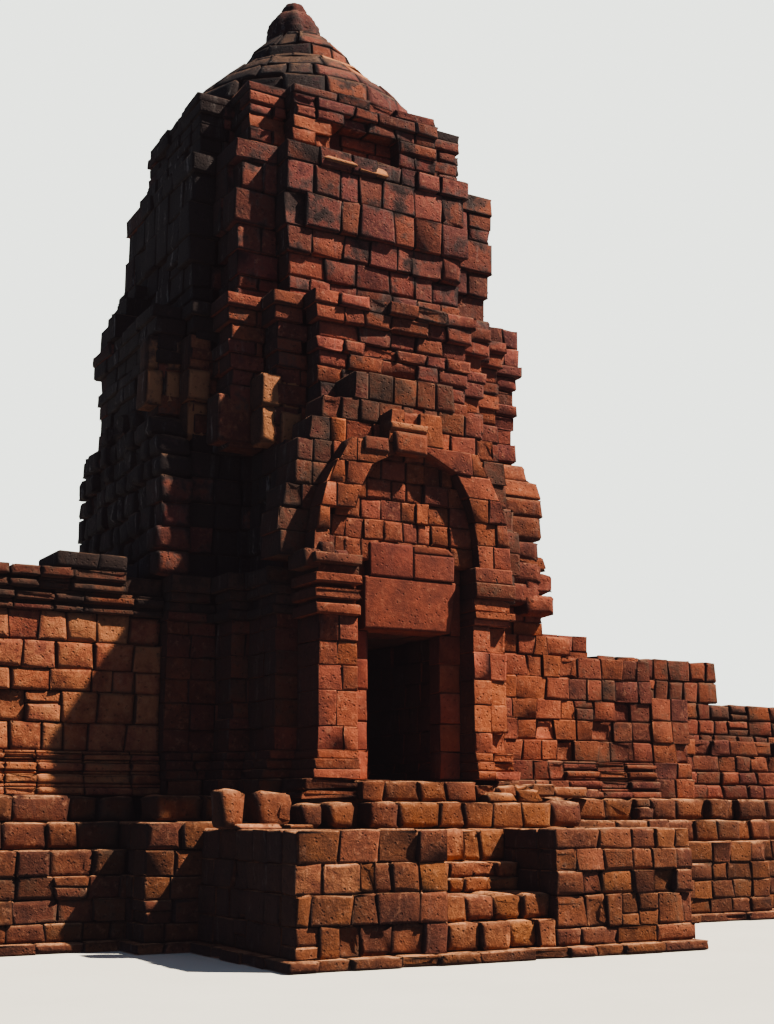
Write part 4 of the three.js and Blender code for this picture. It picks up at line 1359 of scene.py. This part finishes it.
sidePediment = {
    "half": 1.85, "rise": 1.2, "point": 0.7, "low": 4.65, "spring": 6.0, "top": 7.2,
    "look": lookOf(size=0.40, out=0.03, worn=0.3, round=0.06, wear=0.010),
    "left": (-2.35, -2.85),  # where its back and its face are
    "right": (2.65, 3.35),
    "courses": (0.33, 0.3),  # below and above the spring
    "loose": [  # stones that face the front: left, right, face, depth, low and high
        (2.72, 3.42, -1.9, 0.5, 5.18, 5.42), (3.02, 3.54, -1.9, 0.5, 4.84, 5.14),
        (3.0, 3.55, -1.9, 0.5, 4.5, 4.82)],
    "looseLook": {"lean": (0, 0.02), "worn": 0.8, "round": 0.05},
}


def laySidePediment(label, seed, finish, slot, grime, loose=()):
    pile = Pile(seed)
    back, face = sidePediment[label]
    look = {**sidePediment["look"], "depth": abs(face - back), "grime": grime}
    turn = math.copysign(math.pi / 2, face)
    spring, (lowCourse, highCourse) = sidePediment["spring"], sidePediment["courses"]
    for z0, z1 in [*archRows(sidePediment["low"], spring, lowCourse),
                   *archRows(spring, sidePediment["top"], highCourse)]:
        below, above = rowEnds(*(reachAt(z, sidePediment, spring) for z in (z0, z1)), z1 - z0)
        layCut(pile, (face, 0.0), turn, (-below, -above, below, above), z0, z1, look)
    pile.blocks(loose, look, **sidePediment["looseLook"])
    pile.build(label + "_pediment", finish, slot)


laySidePediment("left", 61, darkFinish, "dark_laterite", 0.55)
laySidePediment("right", 62, wallFinish, "wall_laterite", 0.35, sidePediment["loose"])


# tiers of the tower

tiers = {  # half sizes of the corners, then each projection's half width and its reach
    "upper_body": {
        "corner": 1.75, "shift": 0.15, "side": [(1.7, 2.5)], "front": [(1.65, 2.88)],
        "shaft": 1.2, "courses": coursesOf([4.65, 5.0, 5.36, 5.7, 6.05, 6.4])},
    "first_tier": {
        "corner": 2.17, "shift": 0.17, "leftLoss": 0.17, "side": [(1.6, 2.45), (1.3, 3.04)],
        "front": [(1.65, 2.55), (1.18, 2.88)], "shaft": 0.95,
        "courses": [(6.4, 6.68, 0), (6.68, 6.97, 0), (6.97, 7.26, 0.01), (7.26, 7.5, -0.01),
                    (7.5, 7.72, 0.01), (7.72, 7.9, 0.05), (7.9, 8.14, 0.01), (8.14, 8.36, 0.07),
                    (8.36, 8.55, 0.12)]},
    "second_tier": {
        "corner": 2.07, "shift": 0.17, "side": [(1.35, 2.45)], "front": [(1.43, 2.39)],
        "shaft": 0.65,
        "courses": [(8.55, 8.73, -0.05), (8.73, 8.92, -0.03), (8.92, 9.28, -0.02),
                    (9.28, 9.66, 0.02), (9.66, 10.16, 0.08), (10.16, 10.62, 0.06),
                    (10.62, 10.9, 0.08)]},
    "third_tier": {
        "corner": 1.77, "shift": 0.16, "leftLoss": -0.1, "side": [(1.1, 2.18)],
        "front": [(1.2, 2.05)], "shaft": 0.35,
        "courses": [(10.9, 11.12, 0), (11.12, 11.34, 0), (11.34, 11.55, 0), (11.55, 11.72, 0),
                    (11.72, 11.9, 0.03), (11.9, 12.05, 0.01)]},
}
# the tiers' walls that face left get much more grime and painted shade
tierLook = lookOf(size=0.45, worn=0.16, out=0.018, round=0.016, wear=0.007, tilt=0.007,
                  split=0.05, leftward=0.9)
shaftLook = lookOf(size=0.8, depth=0.35)
tierFill = {"skin": 0.3, "behindShaft": 0.25, "aboveFoot": 0.02, "belowTop": 0.03}
ledge = 0.35  # how much further the last course of a tier reaches in
shaftCourse = 0.5

leftBlockDepth = 0.4
leftBlockChanges = {"worn": 0.3, "tone": (0.5, 0.8), "round": 0.035, "out": 0.008}
leftBlocks = [  # big worn blocks on the first tier's left: left, right, y, low, high, ochre, lichen
    (-2.90, -2.62, -1.33, 7.07, 7.6, 0.9, 0.35), (-2.62, -2.36, -1.34, 7.07, 7.62, 1.0, 0.25),
    (-2.88, -2.60, -1.33, 7.6, 8.12, 0.8, 0.4), (-2.60, -2.36, -1.33, 7.62, 8.14, 0.9, 0.35),
    (-2.40, -2.05, -1.65, 6.6, 7.14, 0.9, 0.0), (-2.40, -2.05, -1.64, 7.14, 7.6, 0.8, 0.1),
    (-2.39, -2.05, -1.63, 7.6, 8.1, 0.5, 0.4), (-2.18, -1.6, -2.2, 6.46, 7.13, 0.4, 0.4),
    (-1.72, -1.42, -2.59, 6.4, 6.92, 1.0, 0.0), (-1.42, -1.10, -2.58, 6.4, 6.88, 1.0, 0.0),
    (-1.71, -1.4, -2.58, 6.92, 7.38, 0.9, 0.0), (-1.40, -1.10, -2.59, 6.88, 7.36, 1.0, 0.0)]
cornerStone = ((1.66, 1.64), 2.16, -2.3, 0.4, 8.18, 8.84)
cornerChanges = {"worn": 0.0, "tone": (0.3, 0.4), "grime": 0.6, "round": 0.04}
ledgeLook = {**tierLook, "depth": 0.4, "grime": 0.7}
leftLedge = [  # what is left of upper rows on the left ledges: x, from y to y, low and high
    (-2.8, 1.3, 0.3, 8.55, 8.92), (-2.62, 1.25, 0.4, 8.92, 9.25), (-2.48, 1.2, 0.5, 9.25, 9.5),
    (-2.22, 1.3, -0.7, 10.9, 11.25)]
stump = {"face": 1.3, "ends": (2.75, 3.33), "heights": [8.55, 8.86, 9.18],
         "look": {**tierLook, "size": 0.3, "depth": 0.5}}
paleSlabs = [(-0.78, -0.2, -2.53, 0.5, 10.70, 10.95), (-0.2, 0.3, -2.53, 0.5, 10.66, 10.95)]
paleChanges = {"lean": (0, 0.2), "pale": 1.3, "tone": (0.9, 1.0), "grime": -0.15, "worn": 0.0,
               "round": 0.03}
niche = {
    "left": -0.41, "right": 0.71, "back": 1.8, "low": 10.95, "high": 11.55, "course": 0.2,
    "rest": 0.05,  # how far the wall inside it reaches past its sides
    # the wall inside it has a lighter tone and less lichen than the tier; the lighter tone is
    # painted sunlight where the overhang casts shade
    "look": {**tierLook, "depth": 0.3, "tone": (0.6, 0.9), "grime": 0.1},
    "slab": (-0.41, (0.3, 0.1), -2.02, 0.25, 10.9, 11.14),
    "slabChanges": {"lean": (0, 0.12), "pale": 1.2, "tone": (0.9, 1.0), "grime": -0.1,
                    "worn": 0.0},
}


def layTier(name, seed, grime):
    tier, pile, look = tiers[name], Pile(seed), {**tierLook, "grime": grime}
    shift, shaft, courses = tier["shift"], tier["shaft"], tier["courses"]
    half, reach = tier["front"][-1]
    left, right = niche["left"], niche["right"]
    nicheHoles = [
        ((shift - half, -reach), left - shift + half, right - shift + half),
        ((shift + half, reach), shift + half + left, shift + half + right),
    ]
    for i, (low, high, lip) in enumerate(courses):
        isLast = i == len(courses) - 1
        course = {**look, "depth": look["depth"] + lip + (ledge if isLast else 0)}
        inNiche = name == "third_tier" and high <= niche["high"]
        layRing(pile, tierPlan(tier, lip), low, high, course, i,
                holes=nicheHoles if inNiche else ())
    bottom, top = courses[0][0], courses[-1][1]
    inside = [(shaft, shaft), (shaft, -shaft), (-shaft, -shaft), (-shaft, shaft)]
    for i, (low, high) in enumerate(levels(bottom, top, shaftCourse)):
        layRing(pile, inside, low, high, shaftLook, i)
    skin = tierFill["skin"]
    edge, hole = tier["corner"] - skin, shaft + tierFill["behindShaft"]
    low, high = bottom + tierFill["aboveFoot"], top - tierFill["belowTop"]
    for sign in (-1, 1):
        fill(pile, shift - edge, shift + edge, *mirrored(sign, hole, edge), low, high)
        fill(pile, *sorted((sign * hole, sign * edge + shift)), -hole, hole, low, high)
        for half, reach in tier["front"]:
            fill(pile, shift - half + skin, shift + half - skin,
                 *mirrored(sign, hole, reach - skin), low, high)
        for half, reach in tier["side"]:
            isLeftmost = sign < 0 and reach == tier["side"][-1][1]
            loss = tier.get("leftLoss", 0) if isLeftmost else 0
            fill(pile, *sorted((sign * hole, sign * (reach - skin) + shift + loss)),
                 skin - half, half - skin, low, high)
    return pile


def layFirstTier():
    pile = layTier("first_tier", 72, 0.36)
    for x0, x1, face, low, high, pale, grime in leftBlocks:
        pile.block(x0, x1, face, leftBlockDepth, low, high, tierLook, grime=grime, pale=pale,
                   **leftBlockChanges)
    pile.block(*cornerStone, tierLook, **cornerChanges)
    pile.build("first_tier", upperFinish, "wall_laterite")


def laySecondTier():
    pile = layTier("second_tier", 73, 0.5)
    for x, y0, y1, low, high in leftLedge:
        layRun(pile, (x, y0), (x, y1), low, high, ledgeLook)
    pile.blocks(paleSlabs, tierLook, **paleChanges)
    pile.build("second_tier", darkFinish, "dark_laterite")


def layNiche(seed, side):  # the wall inside the niche and the pale broken slab at its foot
    pile, rest = Pile(seed, side == "front"), niche["rest"]
    for low, high in levels(niche["low"], niche["high"], niche["course"]):
        layFront(pile, niche["left"] - rest, niche["right"] + rest, niche["back"], low, high,
                 niche["look"])
    pile.block(*niche["slab"], tierLook, **niche["slabChanges"])
    if side == "back":
        turnHalf(pile)
    return pile.rows


def layThirdTier():
    pile = layTier("third_tier", 74, 0.5)
    pile.rows += layNiche(75, "front") + layNiche(77, "back")
    pile.build("third_tier", darkFinish, "dark_laterite")


def layStump():
    pile = Pile(75)
    x0, x1 = stump["ends"]
    for low, high, _ in coursesOf(stump["heights"]):
        layFront(pile, x0, x1, stump["face"], low, high, stump["look"])
    pile.build("ledge_stump", darkFinish, "dark_laterite")


layTier("upper_body", 71, 0.6).build("upper_body", darkFinish, "dark_laterite")
layFirstTier()
laySecondTier()
layThirdTier()
layStump()


# crown

crown = {
    "dome": [  # low, high, then the radius at both
        (12.05, 12.42, 2.0, 1.90), (12.42, 12.76, 1.86, 1.58), (12.76, 13.10, 1.55, 1.22)],
    "domeLook": lookOf(depth=0.6, round=0.06, out=0.012, worn=0.15, wear=0.008, tilt=0.006,
                       grime=0.55),
    "domeStones": 9,  # for each metre of the radius
    "domeFill": (-0.9, 0.9, -0.9, 0.9, 12.06, 13.08),
    "ring": [(13.08, 13.20, 1.22, 1.10), (13.19, 13.50, 0.95, 0.88), (13.50, 13.92, 0.90, 0.50)],
    "ringLook": lookOf(depth=0.36, round=0.025, out=0.004, worn=0.05, wear=0.005, tilt=0.003,
                       grime=0.6, pale=0.0, tone=(0.6, 0.95)),
    "ringStones": 13,
    "ringFills": [(-0.55, 0.55, -0.55, 0.55, 13.08, 13.5), (-0.3, 0.3, -0.3, 0.3, 13.4, 13.88)],
    "paleLip": {"grime": -0.2, "pale": 0.9},  # the thin ring over the dome
    "leastTaper": 0.15,
    "turnMost": 6,       # radians; each course starts at an angle of its own
}

finial = {
    "foot": 13.9,
    "profile": [  # radius and height
        (0.43, 13.9), (0.45, 13.96), (0.44, 14.05), (0.43, 14.15), (0.40, 14.24),
        (0.36, 14.31), (0.31, 14.37), (0.245, 14.41), (0.21, 14.45), (0.205, 14.53),
        (0.165, 14.60), (0.09, 14.65), (0.0, 14.66)],
    "steps": 36,
    "merge": 0.0005,
    "core": 0.01,    # points nearer to the axis stay on it
    "shift": -0.11,
    "waist": 0.91,   # between two lobes, as a share of the radius
    "lobe": 0.11,
    "lobeTurns": 4,
    "rough": 0.016,
    "roughMost": 1.5,
    "labels": {"tone": 0.35, "grime": 0.55, "hue": 0.7},
}


def layRound(pile, low, high, radiusLow, radiusHigh, count, look):
    joints = jointsAlong(pile.rng, 2 * math.pi, 2 * math.pi / count)
    joints = joints + pile.rng.uniform(0, crown["turnMost"])
    taper = max(crown["leastTaper"], 1 - look["depth"] / radiusLow)
    for start, end in zip(joints[:-1], joints[1:]):
        angle, spread = (start + end) / 2, math.tan((end - start) / 2)
        half, halfHigh = radiusLow * spread, radiusHigh * spread
        pile.stone((radiusLow * math.cos(angle), radiusLow * math.sin(angle)),
                   angle + math.pi / 2, (-half, -halfHigh), (half, halfHigh),
                   (0, radiusLow - radiusHigh), look["depth"], low, high, look, taper)


def layCrown():
    dome = Pile(81)
    for low, high, r0, r1 in crown["dome"]:
        layRound(dome, low, high, r0, r1, round(r0 * crown["domeStones"]), crown["domeLook"])
    fill(dome, *crown["domeFill"])
    dome.build("crown_dome", darkFinish, "dark_laterite")

    ring = Pile(82)
    for i, (low, high, r0, r1) in enumerate(crown["ring"]):
        look = crown["ringLook"] if i else {**crown["ringLook"], **crown["paleLip"]}
        layRound(ring, low, high, r0, r1, round(r0 * crown["ringStones"]), look)
    for box in crown["ringFills"]:
        fill(ring, *box)
    ring.build("crown_ring", darkFinish, "dark_laterite")


def turnFinial():
    bm = bmesh.new()
    verts = [bm.verts.new((0, 0, finial["foot"]))]
    verts += [bm.verts.new((radius, 0, height)) for radius, height in finial["profile"]]
    edges = [bm.edges.new(pair) for pair in zip(verts[:-1], verts[1:])]
    bmesh.ops.subdivide_edges(bm, edges=edges, cuts=2)
    bmesh.ops.spin(bm, geom=bm.verts[:] + bm.edges[:], cent=(0, 0, 0), axis=(0, 0, 1),
                   angle=2 * math.pi, steps=finial["steps"], use_merge=True)
    bmesh.ops.remove_doubles(bm, verts=bm.verts[:], dist=finial["merge"])
    bmesh.ops.recalc_face_normals(bm, faces=bm.faces[:])
    rng, most = np.random.default_rng(83), finial["roughMost"]
    layers = {label: bm.verts.layers.float.new(label) for label in finial["labels"]}
    for v in bm.verts:
        if v.co.xy.length > finial["core"]:
            lobe = abs(math.sin(finial["lobeTurns"] * math.atan2(v.co.y, v.co.x)))
            rough = float(np.clip(rng.normal(), -most, most)) * finial["rough"]
            v.co.xy *= finial["waist"] + finial["lobe"] * lobe + rough
        v.co.x += finial["shift"]
        for label, value in finial["labels"].items():
            v[layers[label]] = value
    mesh = bpy.data.meshes.new("finial_bud")
    bm.to_mesh(mesh)
    bm.free()
    mesh.shade_smooth()
    mesh.materials.append(darkFinish)
    addPiece(bpy.data.objects.new("finial_bud", mesh), "finial")


layCrown()
turnFinial()


# walls of the wings and the gallery

walls = {
    "start": 2.65, "wingEnd": 6.25, "galleryEnd": 10.6, "outer": 1.65, "inner": 0.95,
    "base": [(1.80, 1.90, 0.19), (1.90, 1.94, 0.14), (1.94, 2.06, 0.16), (2.06, 2.10, 0.08),
             (2.10, 2.20, 0.11), (2.20, 2.24, 0.04), (2.24, 2.31, 0.07), (2.31, 2.35, 0.01)],
    "shaft": [2.35, 2.70, 3.09, 3.37, 3.72, 4.10],
    "cornice": [(4.10, 4.17, 0.04), (4.17, 4.22, -0.02), (4.22, 4.32, 0.08), (4.32, 4.37, 0.02),
                (4.37, 4.47, 0.12), (4.47, 4.51, 0.05), (4.51, 4.65, 0.16)],
    "plainTop": [4.10, 4.37, 4.65],
    "carved": 0.55,  # length of the blocks that carry several mouldings each
    "thin": 0.15,
    "thinLook": {"out": 0.006, "tilt": 0.003, "slant": 0.0, "round": 0.035},
    "look": lookOf(size=0.42, out=0.012, worn=0.1, round=0.012),
}
whole = [*walls["base"], *coursesOf(walls["shaft"])]

leftLooks = {  # what the left wing's front wall changes: its lit stones, cornice and last stones
    "lit": {"tone": (0.75, 1.0), "pale": 0.55, "grime": 0.25, "worn": 0.18, "round": 0.022},
    "soiled": {"tone": (0.25, 0.6), "grime": 0.7, "worn": 0.2, "round": 0.024},
    "last": {"tone": (0.25, 0.6), "grime": 0.8, "worn": 0.2, "round": 0.024},
    "cap": {"size": 0.5, "grime": 1.0, "round": 0.03},
}
rightLook = {**walls["look"], "size": 0.36, "tone": (0.2, 0.75), "grime": 0.47}

leftFront = [  # from x to x, the face, the courses and what changes on them
    (2.65, 6.25, 1.65, whole, leftLooks["lit"]),
    (2.65, 6.25, 1.65, walls["cornice"][:4], leftLooks["soiled"]),
    (3.2, 6.25, 1.65, walls["cornice"][4:], leftLooks["soiled"]),
    (2.65, 3.2, 1.6, [(4.37, 4.62, 0.0)], leftLooks["last"]),
    (3.2, 4.15, 1.8, [(4.65, 4.86, 0.0)], leftLooks["cap"]),
]
rightFront = [
    (2.65, 3.75, 1.72, [(1.8, 2.06, 0.1), (2.06, 2.35, 0.0)], {"worn": 0.4, "out": 0.03}),
    (3.75, 5.5, 1.65, walls["base"], {"worn": 0.3}),
    (2.65, 5.5, 1.65, coursesOf([2.35, 2.66, 2.97, 3.27, 3.6, 3.93]), {}),
    (5.5, 6.25, 1.65, [(1.8, 2.1, 0.08), (2.1, 2.35, 0.03), *coursesOf([2.35, 2.66, 3.0, 3.36])],
     {}),
    (2.65, 3.95, 1.65, [(3.93, 4.22, 0.0)], {}),
    (2.65, 3.5, 1.56, coursesOf([4.22, 4.43, 4.65]), {}),
]

gallery = {
    "outer": 1.3, "inner": 0.7, "footTop": 2.24, "course": 0.3, "frontTop": 2.76,
    "backLow": 3.54,   # the back wall's outer end is broken down to this
    "backTop": 4.3,
    "backEnd": 9.0,
    "backCourse": 0.38,
    "rightFoot": [(1.8, 2.03, 0.08), (2.03, 2.24, 0.04)],
    "look": lookOf(size=0.42, out=0.020, worn=0.2, grime=0.5, wear=0.008, round=0.024),
    "walls": [("left_gallery_front_wall", 95, -1, -1), ("right_gallery_front_wall", 96, 1, -1),
              ("left_gallery_back_wall", 97, -1, 1), ("right_gallery_back_wall", 98, 1, 1)],
}


def layWall(pile, signX, signY, x0, x1, outer, inner, courses, look):
    carved = jointsAlong(pile.rng, x1 - x0, walls["carved"])
    near, far = mirrored(signX, x0, x1)
    for low, high, lip in courses:
        face = outer + lip
        course, cuts = {**look, "depth": face - inner}, None
        if high - low < walls["thin"]:
            course, cuts = {**course, **walls["thinLook"]}, carved
        start, end = ((near, -face), (far, -face)) if signY < 0 else ((far, face), (near, face))
        layRun(pile, start, end, low, high, course, cuts)


def layFrontWall(label, seed, signX, runs, look):
    pile = Pile(seed)
    for x0, x1, face, courses, changes in runs:
        layWall(pile, signX, -1, x0, x1, face, walls["inner"], courses, {**look, **changes})
    pile.build(label + "_front_wall", wallFinish, "wall_laterite")


def layBackWall(label, seed, signX, top):
    pile = Pile(seed)
    layWall(pile, signX, 1, walls["start"], walls["wingEnd"], walls["outer"], walls["inner"],
            [*whole, *top], walls["look"])
    pile.build(label + "_back_wall", wallFinish, "wall_laterite")


def layGalleryWall(name, seed, signX, signY):
    pile, outer, inner, look = Pile(seed), gallery["outer"], gallery["inner"], gallery["look"]
    top = gallery["frontTop"] if signY < 0 else gallery["backLow"]
    foot = walls["base"][:-2] if signX < 0 else gallery["rightFoot"]
    rows = [(low, high, 0.0)
            for low, high in unevenLevels(seed, gallery["footTop"], top, gallery["course"])]
    layWall(pile, signX, signY, walls["wingEnd"], walls["galleryEnd"], outer, inner,
            [*foot, *rows], look)
    if signY > 0:
        rows = [(low, high, 0.0)
                for low, high in levels(top, gallery["backTop"], gallery["backCourse"])]
        layWall(pile, signX, signY, walls["wingEnd"], gallery["backEnd"], outer, inner, rows, look)
    pile.build(name, wallFinish, "wall_laterite")


layBackWall("left", 92, -1, walls["cornice"])
layBackWall("right", 93, 1, coursesOf(walls["plainTop"]))
layFrontWall("left", 91, -1, leftFront, walls["look"])
layFrontWall("right", 94, 1, rightFront, rightLook)
for wall in gallery["walls"]:
    layGalleryWall(*wall)
